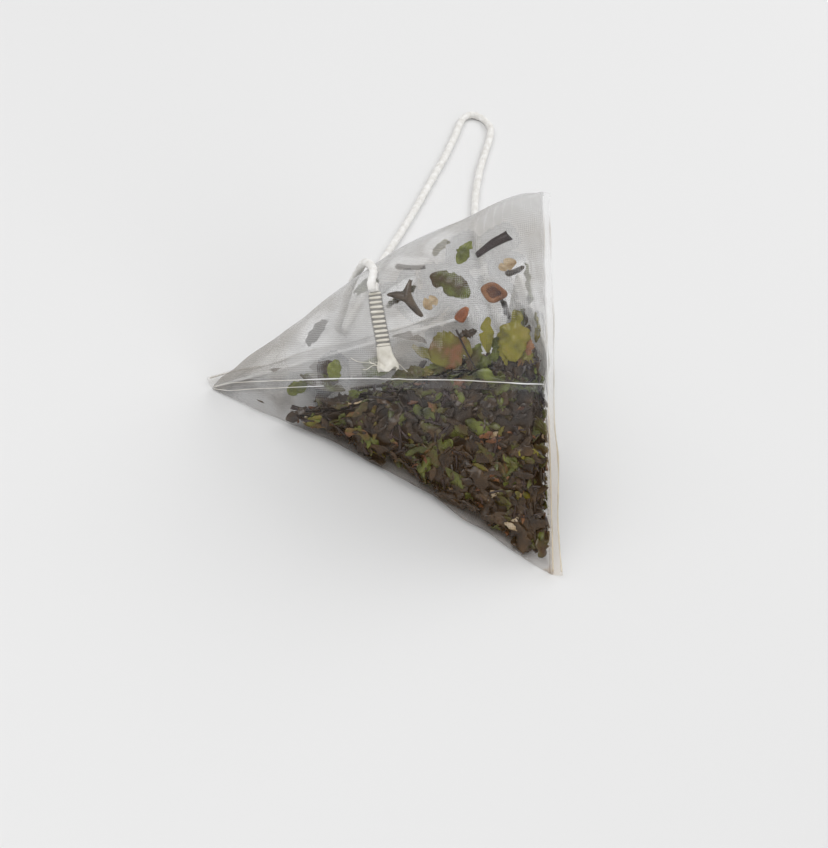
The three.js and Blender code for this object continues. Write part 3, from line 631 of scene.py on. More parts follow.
def twisted_string(path):
    angles = circle(24)
    lobes = np.abs(np.cos((angles - ROUND * run_along(path)[:, None] / PLY_LAY) * PLIES / 2))
    wool = 1 + ripples(path, STRING_RIPPLE, 21)
    radius = STRING_DIAMETER * (PLY_CORE + PLY_RISE * lobes) * wool[:, None]
    points = path[:, None] + radius[..., None] * rings_around(angles, *path_frames(path))
    return lofted(kept_above(points, level=0.02 * MM))


def string_fuzz(path):
    """Stray fibres that stand off the cotton."""
    draw = np.random.default_rng(22)
    across, up = path_frames(path)
    share = np.linspace(0, 1, 5)[:, None]
    for n in draw.integers(4, len(path) - 4, FUZZ_COUNT):
        angle = draw.uniform(0, ROUND)
        out = np.cos(angle) * across[n] + np.sin(angle) * up[n]
        ahead = unit(path[n + 1] - path[n - 1]) * draw.choice([-1, 1])
        length = draw.uniform(*FUZZ_LENGTH) * MM
        bow = np.cross(out, ahead) * draw.uniform(-0.5, 0.5)
        stray = ahead * share * 0.85 + out * share**1.5 * draw.uniform(0.2, 0.5) + bow * share**2
        fibre = path[n] + out * FUZZ_ROOT * STRING_DIAMETER + length * stray
        yield tube(kept_above(fibre, level=0.05 * MM), FUZZ_RADIUS, 3)


# The weld of string to mesh

def on_weld(up, aside, out):
    along, across = spun(up, aside, WELD_LEAN)
    return skin(WELD_FOOT[0] + along, WELD_FOOT[1] + across, WELD_OUT + out)


def weld_stretch(start, end, flat=1.0):
    """A stretch of the string's end: round at the top, pressed flat below, and fanned out at its foot."""
    up = np.linspace(start, end, 60)
    neck = smoothstep(*WELD_ROUND, up)
    tail = smoothstep(WELD_FLARE, 0, up)
    width = lerp(lerp(WELD_WIDTH, WELD_NECK_WIDTH, neck), WELD_TAIL_WIDTH, tail**1.5)
    height = flat * (lerp(WELD_THICK, WELD_TAIL_THICK, tail) + neck * WELD_NECK_RISE)
    angles = circle(28)
    strands = 1 + WELD_STRAND * np.cos(WELD_STRANDS * angles)
    aside = width[:, None] / 2 * np.sign(np.cos(angles)) * np.abs(np.cos(angles)) ** 0.8 * strands
    out = height[:, None] / 2 * (1 + np.sin(angles) * strands)
    fray = WELD_FRAY * np.sin(5 * angles + 0.6) * tail[:, None] ** 3
    return lofted(on_weld(up[:, None] - fray, aside, out))


def weld_bars():
    """The ribs that the weld leaves standing across the pressed string."""
    pitch = WELD_LENGTH / WELD_RIBS
    across = np.linspace(-1, 1, 15)[:, None]
    rounding = np.sqrt(1 - 0.98 * across**6)
    angles = circle(12)
    for n in range(WELD_RIBS):
        up = WELD_TAIL + (n + 0.5) * pitch + RIB_HALF * pitch * np.cos(angles) * rounding
        out = RIB_MIDDLE + RIB_RISE * np.sin(angles) * rounding
        yield lofted(on_weld(up, across * WELD_WIDTH / 2, out))


def weld_wisps():
    """Loose filaments at the weld's foot."""
    share = np.linspace(0, 1, 18)
    for reach, rise, start in WISPS:
        aside = (start + np.sign(start) * reach * share) * MM
        up = (0.3 + rise * share**1.6 + 0.35 * np.sin(5 * share)) * MM
        yield tube(on_weld(up, -aside, WISP_OUT), WISP_RADIUS, 5)


# The mesh: a film of water and nylon with the threads in it

def thread_tubes(along, around, lift, closed):
    """Thin three-sided tubes along the rows of a grid of places on the mesh."""
    paths = skin(along, around, lift)
    normals = unit(skin(along, around, 1 * MM) - skin(along, around))
    if closed:
        ahead = np.roll(paths, -1, axis=1) - np.roll(paths, 1, axis=1)
    else:
        ahead = np.gradient(paths, axis=1)
    side = unit(np.cross(ahead, normals))
    rings = paths[:, :, None] + THREAD_RADIUS * rings_around(np.radians([90, 210, 330]), side, normals)
    threads, steps, sides = rings.shape[:3]
    size = steps * sides
    one = np.array(strip_faces(steps + closed, sides))[:, [0, 3, 2, 1]] % size
    starts = np.arange(threads)[:, None] * size
    faces = (starts[:, None] + one).reshape(-1, 4).tolist()
    if not closed:
        ends = starts + np.arange(sides)
        faces += ends[:, ::-1].tolist() + (ends + size - sides).tolist()
    return rings.reshape(-1, 3), faces


def warp():
    """The threads that run along the bag."""
    around = np.arange(-2 * QUARTER, 2 * QUARTER, THREAD_PITCH)[:, None]
    return thread_tubes(np.linspace(0, SLANT, WARP_STEPS), around, THREAD_LIFT, False)


def weft():
    """The threads that run around the bag."""
    along = np.arange(THREAD_PITCH, SLANT, THREAD_PITCH)[:, None]
    around = np.linspace(-2, 2, WEFT_STEPS, endpoint=False) * QUARTER
    return thread_tubes(along, around, -THREAD_LIFT, True)


def wet_through(piece, tea, wet_looks):
    """Gives mesh its looks, from damp to clear, the closer wet tea is to it: elsewhere it stays milky."""
    trees = [(tree_of(*body), reach) for body, reach in tea]
    for look in wet_looks:
        piece.data.materials.append(looks[look])
    damp_looks = len(wet_looks) - 1
    for face in piece.data.polygons:
        for tree, reach in trees:
            distance = tree.find_nearest(face.center, DAMP_EDGE * reach)[3]
            if distance is None:
                continue
            dryness = (distance / reach - 1) / (DAMP_EDGE - 1)
            damp = max(1, damp_looks - math.floor(dryness * damp_looks))
            face.material_index = max(face.material_index, damp_looks + 1 if dryness < 0 else damp)


def seam_line(share=1.0):
    return np.linspace(SEAM_FOOT, share * SLANT - SEAM_HEAD, 130)


def seam_taper(along):
    return np.minimum(1, half_height(along / SLANT) / (SEAM_ROOM * SEAM_WIDTH))


def lap_seam():
    """The long lap seam: a thin pressed band."""
    along = seam_line()[:, None]
    across = np.linspace(-0.5, 0.5, len(SEAM_TOP)) * SEAM_WIDTH
    across = np.concatenate([across, across[::-1]])
    return lofted(skin(along, across * seam_taper(along), np.concatenate([SEAM_TOP, SEAM_UNDER])))


def seam_beads():
    """The welded edges of the lap, which stand up as two thin lines."""
    for side, radius, share in BEADS:
        along = seam_line(share)
        across = side * SEAM_WIDTH * seam_taper(along)
        thick = radius * (1 + ripples(skin(along, across), BEAD_RIPPLE, 35))
        yield tube(skin(along, across, BEAD_OUT), thick, 7)


def fin_form(root, line, out, share, seed):
    """Along an end seal: its root, the way across it, and how its edge is ragged and waves."""
    middle = root + line * share[:, None]
    ragged = 1 + ripples(middle, FIN_RAGGED, seed)
    return middle, unit(np.cross(line, out)), ragged, ripples(middle, FIN_WAVE, seed + 1)


def fin(root, line, out, width, lift, seed):
    """An end seal: both walls pressed together, with lines pressed along it and a faint wave at its edge."""
    share = np.linspace(0, 1, 140)
    middle, across, ragged, wave = fin_form(root, line, out, share, seed)
    knurl = KNURL * np.sin(ROUND * share * np.linalg.norm(line) / KNURL_PITCH)
    rings = []
    for side in (1, -1):
        depth, thick = FIN_DEPTH[::side], FIN_THICK[::side]
        height = side * (thick / 2 + knurl[:, None]) + wave[:, None] * np.maximum(depth, 0) ** 2 + lift
        reach = width * ragged[:, None] * depth
        rings.append(middle[:, None] + out * reach[..., None] + across * height[..., None])
    return lofted(kept_above(to_row(np.concatenate(rings, axis=1))))


def fin_lines():
    """Bright lines where the upright seal's walls part and along the edges of both seals."""
    share = np.linspace(0.01, 0.99, 120)
    for (root, line, out, width, lift, seed), reach in SEAL_LINES:
        middle, across, ragged, wave = fin_form(root, line, out, share, seed)
        path = middle + out * (reach * width * ragged)[:, None] + across * (wave * reach**2 + lift)[:, None]
        points, faces = tube(to_row(path), SEAL_LINE * (1 + ripples(path, SEAL_LINE_RIPPLE, 36)), 7)
        yield kept_above(points), faces


# Tea

def bed_height(x, y):
    wave = ROUND / BED_LUMP_LENGTH
    lumps = np.sin(wave * x + 1) * np.cos(wave * y) + 0.5 * np.sin(1.7 * wave * (x + y))
    rise = BED_SLOPE * (x - BED_START)
    heap = (rise + np.hypot(rise, BED_BLEND)) / 2
    return BED_LEAST + heap + BED_LUMP * lumps * heap / (heap + BED_BLEND)


def bed_depth(points):
    x, y, _ = np.moveaxis(to_bag(points), -1, 0)
    return bed_height(x, y)


def clinging(on_face, f, s, degrees):
    """A place on a face's inside, as shares of its length and half width, with its own x, y and depth."""
    def place(x, y, z):
        along, across = spun(x, y, math.radians(degrees))
        return on_face(f * SLANT + along, s * half_height(f) + across, -(CLING + z))

    return place


near, far, back = (partial(clinging, on_face) for on_face in (skin, on_far, on_back))


def lying(f, s, degrees):
    """A place on top of the tea bed."""
    middle, side = f * (PEAK[0] + SLANT) / 2, s * half_width(f)
    low, high = bed_height(middle + np.array([-1, 1]) * BED_STEP, side)
    run = 1 / math.hypot(1, (high - low) / (2 * BED_STEP))

    def place(x, y, z):
        along, across = spun(x, y, math.radians(degrees))
        px, py = middle + run * along, side + across
        return to_row(np.stack([px, py, bed_height(px, py) + LYING + z / run], -1))

    return place


def leaf_edge(share, width, fullness, frill, ragged, draw):
    """Half a leaf's width along its length: toothed, uneven, scalloped if it has a frill, and torn."""
    outline = np.sin(math.pi * share) ** (1 / fullness)
    saw = (share * draw.integers(5, 9) + draw.uniform(0, 1)) % 1
    uneven = sum(np.sin(n * 5.2 * share + draw.uniform(0, 6.3)) / n for n in (1, 2, 3))
    scallops = np.abs(np.sin(math.pi * (share * 6 + draw.uniform(0, 1))))
    tear = np.exp(-(((share - draw.uniform(0.15, 0.85)) / draw.uniform(0.05, 0.1)) ** 2))
    tear = tear * draw.uniform(0.1, 0.6)
    worn = (1 - ragged * saw) * (1 + 0.1 * uneven) * (1 + frill * (scallops - 0.6)) * (1 - tear)
    return width / 2 * outline * worn


def leaf_rings(length, width, fullness, curl, seed, stations=30, columns=11, frill=0.0, ragged=0.12):
    """A torn wet leaf, flat along x, with a midrib, side veins and crumpled flesh."""
    length, width, curl = length * MM, width * MM, curl * MM
    draw = np.random.default_rng(seed)
    share = np.linspace(0.03, 0.97, stations)
    left, right = (leaf_edge(share, width, fullness, frill, ragged, draw)[:, None] for _ in range(2))
    across = np.linspace(-1, 1, columns)
    y = np.where(across < 0, left, right) * across
    x = np.broadcast_to((share[:, None] - 0.5) * length, y.shape)
    y = y + draw.uniform(-0.2, 0.2) * (x * x / length)
    flat = np.stack([x, y, np.zeros_like(x)], -1)
    crumple = ripples(flat, LEAF_CRUMPLE * width, seed + 1)
    vein = np.maximum(0, np.cos(ROUND * (x - 0.7 * np.abs(y)) / (length / LEAF_VEINS))) ** 10
    rib = np.exp(-((across * 7) ** 2))
    reach = np.abs(y) / (width / 2)
    wave = 0.12 * frill * width * np.sin(ROUND * x / (length / 5)) * reach**2
    lift = curl * ((2 * x / length) ** 2 + reach**2) + crumple + wave
    flesh = LEAF_FLESH * (0.35 + 0.65 * (1 - across**4))
    low = lift - VEIN_UNDER * vein - RIB_UNDER * rib
    high = lift + flesh + VEIN_OVER * vein + RIB_OVER * rib
    x, y, z = (np.concatenate([under, over[:, ::-1]], 1) for under, over in ((x, x), (y, y), (low, high)))
    return x, y, z - low.min()


def leaf(length, width, fullness, curl, place, seed, frill=0.0):
    return lofted(place(*leaf_rings(length, width, fullness, curl, seed, frill=frill)))


def stalk(length, thick, thin, place, seed, stations=16, sides=10):
    """A tapered stalk with lengthwise grooves, a slight bend and broken ends."""
    draw = np.random.default_rng(seed)
    share = np.linspace(0, 1, stations)[:, None]
    angles = circle(sides)
    grooves = 1 + STALK_GROOVE * np.cos(STALK_GROOVES * angles + 2 * share)
    radius = lerp(thick, thin, share) * MM / 2 * grooves * (1 + 0.05 * np.sin(9 * share + seed))
    x = (share - 0.5) * length * MM + STALK_BREAK * np.cos(2 * angles + 1) * (2 * share - 1) ** 6
    y = radius * np.sin(angles) + draw.uniform(-0.06, 0.06) * length * MM * (2 * share - 1) ** 2
    z = radius * np.cos(angles) + thick * MM / 2
    return lofted(place(x, y, z))


def forked_twig(place):
    """Three tapered arms from one heart."""
    for degrees, reach, thick in TWIG_ARMS:
        def arm_place(x, y, z):
            out, aside = spun(x + reach * MM / 2 - TWIG_HEART, y, math.radians(degrees))
            return place(out + TWIG_HEART, aside, z)

        yield stalk(reach, thick, 0.4 * thick, arm_place, 160 + degrees)


def fruit_ring(place):
    """A slice of dried fruit, shrunk to an uneven ring."""
    stations, sides = 40, 14
    around, section = circle(stations)[:, None], circle(sides)
    uneven = 1 + 0.09 * np.cos(4 * around + 0.6) + 0.05 * np.cos(3 * around)
    radius = (RING_OUTER - RING_THICK / 2) * uneven + RING_THICK / 2 * np.cos(section)
    height = RING_THICK * 0.42 * (1 + np.sin(section) * (1 + 0.12 * np.cos(9 * around)))
    points = place(radius * np.cos(around) * 1.05, 0.9 * radius * np.sin(around), height)
    faces = [[k % (stations * sides) for k in face] for face in strip_faces(stations + 1, sides)]
    return points.reshape(-1, 3), faces


def fruit_pit(place):
    """The dark flesh inside the ring."""
    around = circle(30)
    section = np.linspace(-0.49 * math.pi, 0.49 * math.pi, 9)[:, None]
    radius = PIT_RADIUS * np.cos(section) * (1 + 0.06 * np.cos(4 * around + 1))
    height = PIT_LIFT + PIT_THICK * (1 + np.sin(section)) / 2
    return lofted(place(radius * np.cos(around), 0.9 * radius * np.sin(around), height))


def fruit_chunk(place):
    """A lump of dried fruit with a wrinkled skin."""
    polar = np.linspace(0.08, math.pi - 0.08, 16)[:, None]
    around = circle(24)
    level = np.broadcast_to(np.cos(polar), (len(polar), len(around)))
    ball = np.stack([np.sin(polar) * np.cos(around), np.sin(polar) * np.sin(around), level], -1)
    squared = np.sign(ball) * np.abs(ball) ** 0.75
    lump = squared * (1 + ripples(ball, CHUNK_RIPPLE, 70))[..., None] / 2 * CHUNK_SIZE
    x, y, z = np.moveaxis(lump, -1, 0)
    wedge = 1 - 0.45 * (x / CHUNK_SIZE[0] + 0.5)
    return lofted(place(x, y * wedge, z - z.min()))


fruit_place = near(0.865, 0.53, 0)
LOOSE = {
    "leaf_round": ("leaf_rusty", leaf(6.4, 5, 2.4, 0.25, near(0.735, 0.21, 15), 101)),
    "leaf_broad": ("leaf_yellow", leaf(8, 4.4, 1.5, 0.3, near(0.915, 0.27, 84), 102, frill=0.22)),
    "leaf_olive": ("leaf_olive", leaf(6.4, 4, 1.3, 0.3, near(0.745, 0.645, -25), 103)),
    "leaf_sprig": ("leaf_bright", leaf(4, 2.2, 1.1, 0.2, near(0.785, 0.82, 60), 104, frill=0.2)),
    "leaf_blade": ("leaf_yellow", leaf(5.4, 2.1, 1.3, 0.2, near(0.84, 0.29, 86), 131)),
    "stick": ("stalk_dark", stalk(5.4, 1.45, 0.8, near(0.865, 0.805, 38 + 180), 105)),
    "petal": ("petal", leaf(2.8, 1.7, 1.6, 0.15, near(0.905, 0.665, 30), 106)),
    "fruit_ring": ("fruit_brown", fruit_ring(fruit_place)),
    "fruit_chunk": ("fruit_orange", fruit_chunk(near(0.775, 0.43, 50))),
    "forked_twig": ("twig_grey", gathered(forked_twig(near(0.62, 0.635, 128)))),
    "crumb_by_twig": ("petal", leaf(2.4, 1.9, 2, 0.15, near(0.685, 0.56, 40), 132)),
    "crumb_by_seam_1": ("leaf_bright", leaf(3.4, 2.2, 1.6, 0.15, near(0.27, -0.1, 20), 107)),
    "crumb_by_seam_2": ("leaf_bright", leaf(3.2, 2.4, 1.6, 0.15, near(0.39, 0.12, 75), 108)),
    "leaf_by_seam_1": ("leaf_moss", leaf(4.8, 2.4, 1.2, 0.15, near(0.84, 0.04, -8), 109)),
    "leaf_by_seam_2": ("leaf_olive", leaf(4.6, 2.6, 1.4, 0.15, near(0.615, 0.06, 12), 110)),
    "leaf_far_1": ("leaf_olive", leaf(7.2, 4, 1.2, 0.3, far(0.7, 0.25, 30), 111)),
    "leaf_far_2": ("leaf_moss", leaf(6, 4.4, 1.8, 0.25, far(0.84, 0.52, 100), 112)),
    "leaf_far_3": ("tea_brown", leaf(5, 3, 1.2, 0.2, far(0.5, 0.32, -20), 113)),
    "leaf_far_4": ("leaf_yellow", leaf(6.4, 3.4, 1.2, 0.25, far(0.9, 0.28, 60), 114)),
    "stem_far": ("tea_brown", stalk(7, 0.9, 0.6, far(0.66, 0.62, 20), 115)),
    "leaf_back_1": ("leaf_moss", leaf(7, 4.2, 1.3, 0.3, back(0.66, -0.4, 65), 116)),
    "leaf_back_2": ("leaf_olive", leaf(6, 3.6, 1.6, 0.25, back(0.78, 0.2, -30), 117)),
    "leaf_back_3": ("leaf_yellow", leaf(5.4, 3, 1.2, 0.2, back(0.52, 0.24, 20), 118)),
    "leaf_back_4": ("tea_brown", leaf(6.6, 3.8, 1.4, 0.25, back(0.84, -0.52, 10), 119)),
    "stem_back": ("stalk_dark", stalk(6.4, 0.9, 0.6, back(0.62, 0.05, 80), 120)),
    "leaf_bed_1": ("leaf_olive", leaf(7.4, 4, 1.3, 0.4, lying(0.2, -0.55, 40), 121)),
    "leaf_bed_2": ("leaf_moss", leaf(8, 4.2, 1.2, 0.4, lying(0.2, -0.05, -70), 122)),
    "leaf_bed_3": ("leaf_yellow", leaf(7, 3.8, 1.5, 0.4, lying(0.22, 0.5, 25), 123)),
    "leaf_bed_4": ("tea_brown", leaf(7.4, 3.6, 1.2, 0.4, lying(0.46, -0.56, 10), 124)),
    "leaf_bed_5": ("leaf_olive", leaf(6.8, 4, 1.4, 0.4, lying(0.46, 0.1, 60), 125)),
    "leaf_bed_6": ("leaf_moss", leaf(6.2, 3.4, 1.3, 0.4, lying(0.45, 0.68, -30), 126)),
    "leaf_bed_7": ("leaf_yellow", leaf(6, 3.4, 1.2, 0.35, lying(0.64, -0.3, 80), 127)),
    "leaf_bed_8": ("leaf_moss", leaf(5.4, 3, 1.4, 0.35, lying(0.66, 0.2, 20), 128)),
    "stem_bed_1": ("stalk_dark", stalk(8, 1, 0.6, lying(0.31, 0.24, -60), 129)),
    "stem_bed_2": ("tea_brown", stalk(6.4, 0.9, 0.6, lying(0.31, -0.3, 80), 130)),
}


CLINGING_BITS = (  # a look, a place and turn on the near face, then length, width and depth in millimetres
    ("leaf_olive", 0.8, 0.15, 70, 4.6, 2.2, 0.9),
    ("leaf_yellow", 0.885, 0.19, 96, 5, 1.7, 0.8),
    ("leaf_rusty", 0.945, 0.13, 60, 3.6, 2.2, 0.8),
    ("tea_brown", 0.785, 0.3, 25, 2.8, 1.6, 0.8),
    ("leaf_moss", 0.825, 0.12, 30, 4, 2.4, 1.2),
    ("fruit_brown", 0.958, 0.2, 80, 2.6, 1.6, 0.7),
    ("tea_brown", 0.9, 0.1, 10, 4.4, 2.4, 1.2),
    ("leaf_olive", 0.7, 0.1, 15, 4.4, 2.4, 1),
    ("leaf_moss", 0.862, 0.2, 80, 4.4, 2.2, 1.1),
    ("tea_brown", 0.955, 0.27, 70, 3, 1.7, 1),
    ("leaf_rusty", 0.655, 0.07, -12, 3.4, 2, 1),
    ("leaf_moss", 0.93, 0.17, 20, 3.4, 2, 1.3),
)


def clinging_bits(look):
    for n, (bit_look, f, s, degrees, length, width, depth) in enumerate(CLINGING_BITS):
        if bit_look == look:
            x, y, z = leaf_rings(length, width, 1.3, 0.15, 140 + n, ragged=0.4)
            yield lofted(near(f, s, degrees)(x, y, z + depth * MM))


def thin_stem():
    """A leaf stalk across the round leaf, against the mesh."""
    on_face = near(0.78, 0.215, -65)

    def against_mesh(x, y, z):
        return on_face(x, y, z - CLING + WALL_ROOM)

    return stalk(5.4, 0.32, 0.2, against_mesh, 160)


def kept_inside(points, faces):
    """A body with points that come too close to the mesh moved back in from it."""
    kept = points.copy()
    for n, point in enumerate(points):
        place, normal, _, _ = wall.find_nearest(Vector(point))
        depth = (place - Vector(point)).dot(normal)
        if depth < WALL_ROOM:
            kept[n] += np.array(normal) * (depth - WALL_ROOM)
    return kept, faces


def tea_core():
    """The settled mass under the fragments, drawn in from the mesh."""
    work = bmesh.new()
    work.from_mesh(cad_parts["tea_bed"].data)
    bmesh.ops.remove_doubles(work, verts=work.verts, dist=0.01 * MM)
    bmesh.ops.triangulate(work, faces=work.faces)
    for _ in range(2):
        long_edges = [edge for edge in work.edges if edge.calc_length() > CORE_EDGE]
        bmesh.ops.subdivide_edges(work, edges=long_edges, cuts=1, use_grid_fill=False)
        bmesh.ops.triangulate(work, faces=work.faces)
    axes = {f"use_axis_{axis}": True for axis in "xyz"}
    bmesh.ops.smooth_vert(work, verts=work.verts, factor=0.5, **axes)
    work.normal_update()
    points = np.array([vertex.co for vertex in work.verts])
    normals = np.array([vertex.normal for vertex in work.verts])
    faces = [[vertex.index for vertex in face.verts] for face in work.faces]
    work.free()
    depth = bed_depth(points)
    sunk = CORE_SUNK * smoothstep(BED_THIN, 2 * BED_THIN, depth)
    points = points + normals * (ripples(points, CORE_RIPPLE, 41) - sunk)[:, None]
    points = kept_above(points, level=0.5 * MM)
    kept = (depth > BED_THIN) | (ripples(points * (1, 1, 0), CRUMB_PATCHES, 42) > CRUMBS_FROM)
    return points, [face for face in faces if kept[face].all()]


def surface_samples(points, faces, count, seed):
    """Random places on a surface of triangles, with its normals there."""
    draw = np.random.default_rng(seed)
    corners = points[np.array(faces)]
    cross = np.cross(corners[:, 1] - corners[:, 0], corners[:, 2] - corners[:, 0])
    bed = smoothstep(0.5 * BED_THIN, 2 * BED_THIN, bed_depth(corners[:, 0]))
    areas = np.linalg.norm(cross, axis=1) * bed
    chosen = draw.choice(len(faces), count, p=areas / areas.sum())
    u, v = draw.uniform(size=(2, count, 1))
    flip = u + v > 1
    u, v = np.where(flip, 1 - u, u), np.where(flip, 1 - v, v)
    a, b, c = (corners[chosen, k] for k in range(3))
    return a + (b - a) * u + (c - a) * v, unit(cross[chosen])


FLAKE_MIX = (  # a name, a look, how many, and their least and greatest length in millimetres
    ("flakes_dark", "tea_brown", 850, 1.4, 4.4),
    ("flakes_olive", "leaf_olive", 270, 1.6, 4.4),
    ("flakes_moss", "leaf_moss", 170, 1.6, 4.4),
    ("flakes_yellow", "leaf_yellow", 26, 1.4, 3.6),
    ("flakes_amber", "leaf_rusty", 70, 1.4, 4),
    ("flakes_stalk", "stalk_dark", 240, 1.6, 5),
    ("flakes_red", "fruit_brown", 130, 1, 2.6),
    ("flakes_pale", "petal", 40, 0.9, 2.4),
    ("torn_olive", "leaf_olive", 20, 5, 7.5),
    ("torn_moss", "leaf_moss", 14, 4.5, 7),
    ("torn_brown", "tea_brown", 34, 5, 8),
)
LARGE_FLAKE = 5  # millimetres: from here on a flake gets a finer mesh
FLAKE_TILT, FLAKE_LIFT = 0.28, (0.05, 0.55)  # the lift in millimetres


def flakes(core, count, least, most, seed, stalks):
    """Broken bits of leaf, strewn over the settled mass and lying more or less flat on it."""
    draw = np.random.default_rng(seed)
    for n, (place, normal) in enumerate(zip(*surface_samples(*core, count, seed))):
        tilt = unit(normal + draw.normal(size=3) * FLAKE_TILT)
        ahead = unit(np.cross(tilt, draw.normal(size=3)))
        side = np.cross(tilt, ahead)
        base = place + normal * draw.uniform(*FLAKE_LIFT) * MM

        def put(x, y, z):
            return base + x[..., None] * ahead + y[..., None] * side + z[..., None] * tilt

        length = draw.uniform(least, most)
        if stalks:
            yield stalk(length, draw.uniform(0.35, 0.8), 0.3, put, seed + n, 6, 6)
            continue
        width = draw.uniform(0.35, 0.75) * length
        fullness, curl = draw.uniform(1, 2.4), draw.uniform(0.05, 0.5)
        steps = (9, 5) if most < LARGE_FLAKE else (20, 9)
        rings = leaf_rings(length, width, fullness, curl, 1000 * seed + n, *steps, ragged=0.45)
        yield lofted(put(*rings))


# The tag

def tag_points():
    """Paper folded over the string's end and stuck to itself: a ridge shows where the string is in it."""
    v, u = np.meshgrid(np.linspace(0, 1, 60), np.linspace(-1, 1, 66), indexing="ij")
    z = v * TAG_HEIGHT
    below = np.maximum(0, np.maximum(TAG_CORNER - z, z - (TAG_HEIGHT - TAG_CORNER)))
    y = u * (TAG_WIDTH / 2 - TAG_CORNER + np.sqrt(np.maximum(TAG_CORNER**2 - below**2, 0)))
    sleeve = smoothstep(*TAG_SLEEVE_MOUTH, z) * smoothstep(*TAG_SLEEVE_END, z)
    height = TAG_SLEEVE_OUT + TAG_SLEEVE_RADIUS - TAG_PAPER
    ridge = height * np.exp(-((y / TAG_SLEEVE_RADIUS) ** 2)) * sleeve
    cockle = ripples(np.stack([np.zeros_like(y), y, z], -1), TAG_RIPPLE, 80)
    front, rear = (np.stack([x, y, z], -1) for x in (-TAG_PAPER - ridge + cockle, cockle))
    return np.concatenate([front, rear[:, ::-1]], axis=1)


def tag():
    x, y, z = np.moveaxis(tag_points(), -1, 0)
    z, x = spun(z, x, TAG_LEAN)
    out = unit(FAR_NORMAL * (1, 1, 0))
    ahead = unit(FAR_CORNER - LOW_CORNER)
    foot = (FAR_CORNER + LOW_CORNER) / 2 + ahead * TAG_ASIDE + out * TAG_FOOT
    upright = turned(math.atan2(-out[1], -out[0]))
    return lofted(kept_above(to_row(np.stack([x, y, z], -1) @ upright.T + foot)))


# The camera and the stage

def add_camera():
    right, level = turned(CAMERA_AZIMUTH)[:, :2].T
    up = level * math.sin(CAMERA_ELEVATION) + np.array([0, 0, math.cos(CAMERA_ELEVATION)])
    back = np.cross(right, up)
    up, right = spun(up, right, CAMERA_ROLL)
    place = back * CAMERA_DISTANCE - right * VIEW_ASIDE - up * VIEW_ABOVE
    data = bpy.data.cameras.new("camera")
    data.sensor_width = 36
    data.lens = PIXELS_PER_METRE * CAMERA_DISTANCE * data.sensor_width / IMAGE_HEIGHT
    data.clip_start = 0.01
    camera = add_object("camera", data)
    camera.matrix_world = Matrix([*np.stack([right, up, back, place], 1).tolist(), [0, 0, 0, 1]])
    bpy.context.scene.camera = camera


def add_floor():
    half = 1.5
    mesh = bpy.data.meshes.new("floor")
    corners = [(-half, -half, 0), (half, -half, 0), (half, half, 0), (-half, half, 0)]
    mesh.from_pydata(corners, [], [(0, 1, 2, 3)])
    mesh.materials.append(principled("pale_floor", (0.78, 0.78, 0.78), 0.7, {})[0])
    floor = add_object("floor", mesh)


def add_light(name, place, size, power):
    data = bpy.data.lights.new(name, "AREA")
    data.size = size
    data.energy = power
    light = add_object(name, data)
    light.location = place
    light.rotation_euler = (-Vector(place)).to_track_quat("-Z", "Y").to_euler()


def add_world():
    world = bpy.data.worlds.new("studio")
    world.use_nodes = True
    sky = world.node_tree.nodes["Background"]
    sky.inputs["Color"].default_value = (1, 1, 1, 1)
    sky.inputs["Strength"].default_value = 0.48
    bpy.context.scene.world = world


# The pieces

add_camera()

route = smooth_path(STRING_ROUTE, step=0.3 * MM)
string = add_piece("cotton_string", twisted_string(route), "cotton", ["string"])
fuzz = add_piece("cotton_fuzz", gathered(string_fuzz(route)), "cotton")
paper_tag = add_piece("paper_tag", tag(), "paper", ["tag"])

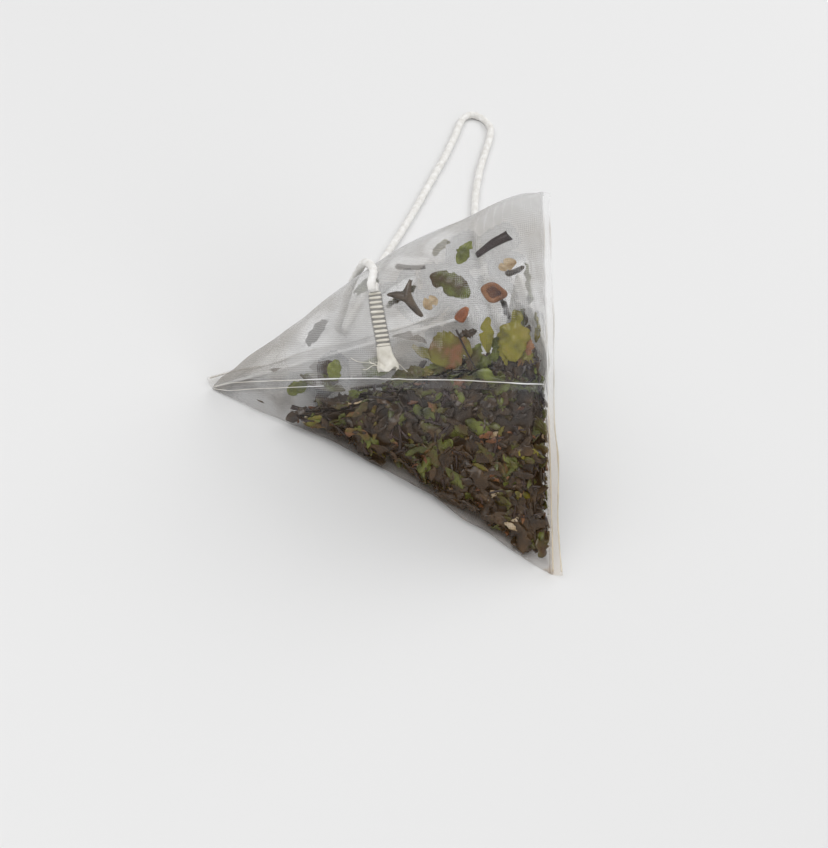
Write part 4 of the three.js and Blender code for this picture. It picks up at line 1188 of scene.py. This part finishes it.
add_piece("weld_boot", weld_stretch(0, WELD_TAIL + WELD_LAP), "weld_cotton", ["string_weld"])
add_piece("weld_neck", weld_stretch(WELD_TOP - WELD_LAP, WELD_TOP + WELD_NECK), "cotton")
add_piece("weld_bars", gathered(weld_bars()), "weld_cotton")
# The base under the ribs carries painted shade: its dark grey stands for the shade in the grooves between
# them
add_piece("weld_base", weld_stretch(WELD_TAIL, WELD_TOP, WELD_BASE_FLAT), "groove_shaded_cotton")
add_piece("weld_wisps", gathered(weld_wisps()), "weld_cotton")

wet_film = add_piece("mesh_film", film, "milky_film", ["mesh_bag"], closed=False)
threads = [
    add_piece("warp_threads", warp(), "mesh_thread", closed=False),
    add_piece("weft_threads", weft(), "mesh_thread", closed=False),
]
seam = [
    add_piece("seam_band", lap_seam(), "wet_film"),
    add_piece("seam_beads", gathered(seam_beads()), "pressed_bead"),
]
flat_seal = add_piece("flat_seal", fin(*FLAT_SEAL), "pressed_film")
upright_seal = add_piece("upright_seal", fin(*UPRIGHT_SEAL), "pressed_film")
seal_lines = add_piece("seal_lines", gathered(fin_lines()), "pressed_bead")

core = tea_core()
bits = {look: gathered(clinging_bits(look)) for look in sorted({row[0] for row in CLINGING_BITS})}
loose = gathered([body for _, body in LOOSE.values()])
wetting = [(core, BED_WETS), (loose, LEAF_WETS), (gathered(bits.values()), BITS_WET)]
wet_through(wet_film, wetting, ["damp_film_1", "damp_film_2", "damp_film_3", "wet_film"])
for piece in threads:
    wet_through(piece, wetting, ["mesh_thread", "wet_thread"])

add_piece("tea_mass", core, "tea_brown", ["tea_bed"])
for order, (name, look, count, least, most) in enumerate(FLAKE_MIX):
    strewn = flakes(core, count, least, most, 50 + order, look == "stalk_dark")
    add_piece(name, kept_inside(*gathered(strewn)), look)
for node, (look, body) in LOOSE.items():
    add_piece(node + "_dressed", kept_inside(*body), look, [node])
for look, body in bits.items():
    add_piece("bits_" + look, kept_inside(*body), look)
add_piece("thin_stem", thin_stem(), "stalk_dark")
add_piece("fruit_ring_pit", fruit_pit(fruit_place), "fruit_dark")

add_floor()
add_world()
for light in LIGHTS:
    add_light(*light)
bpy.context.scene.view_settings.view_transform = "Standard"
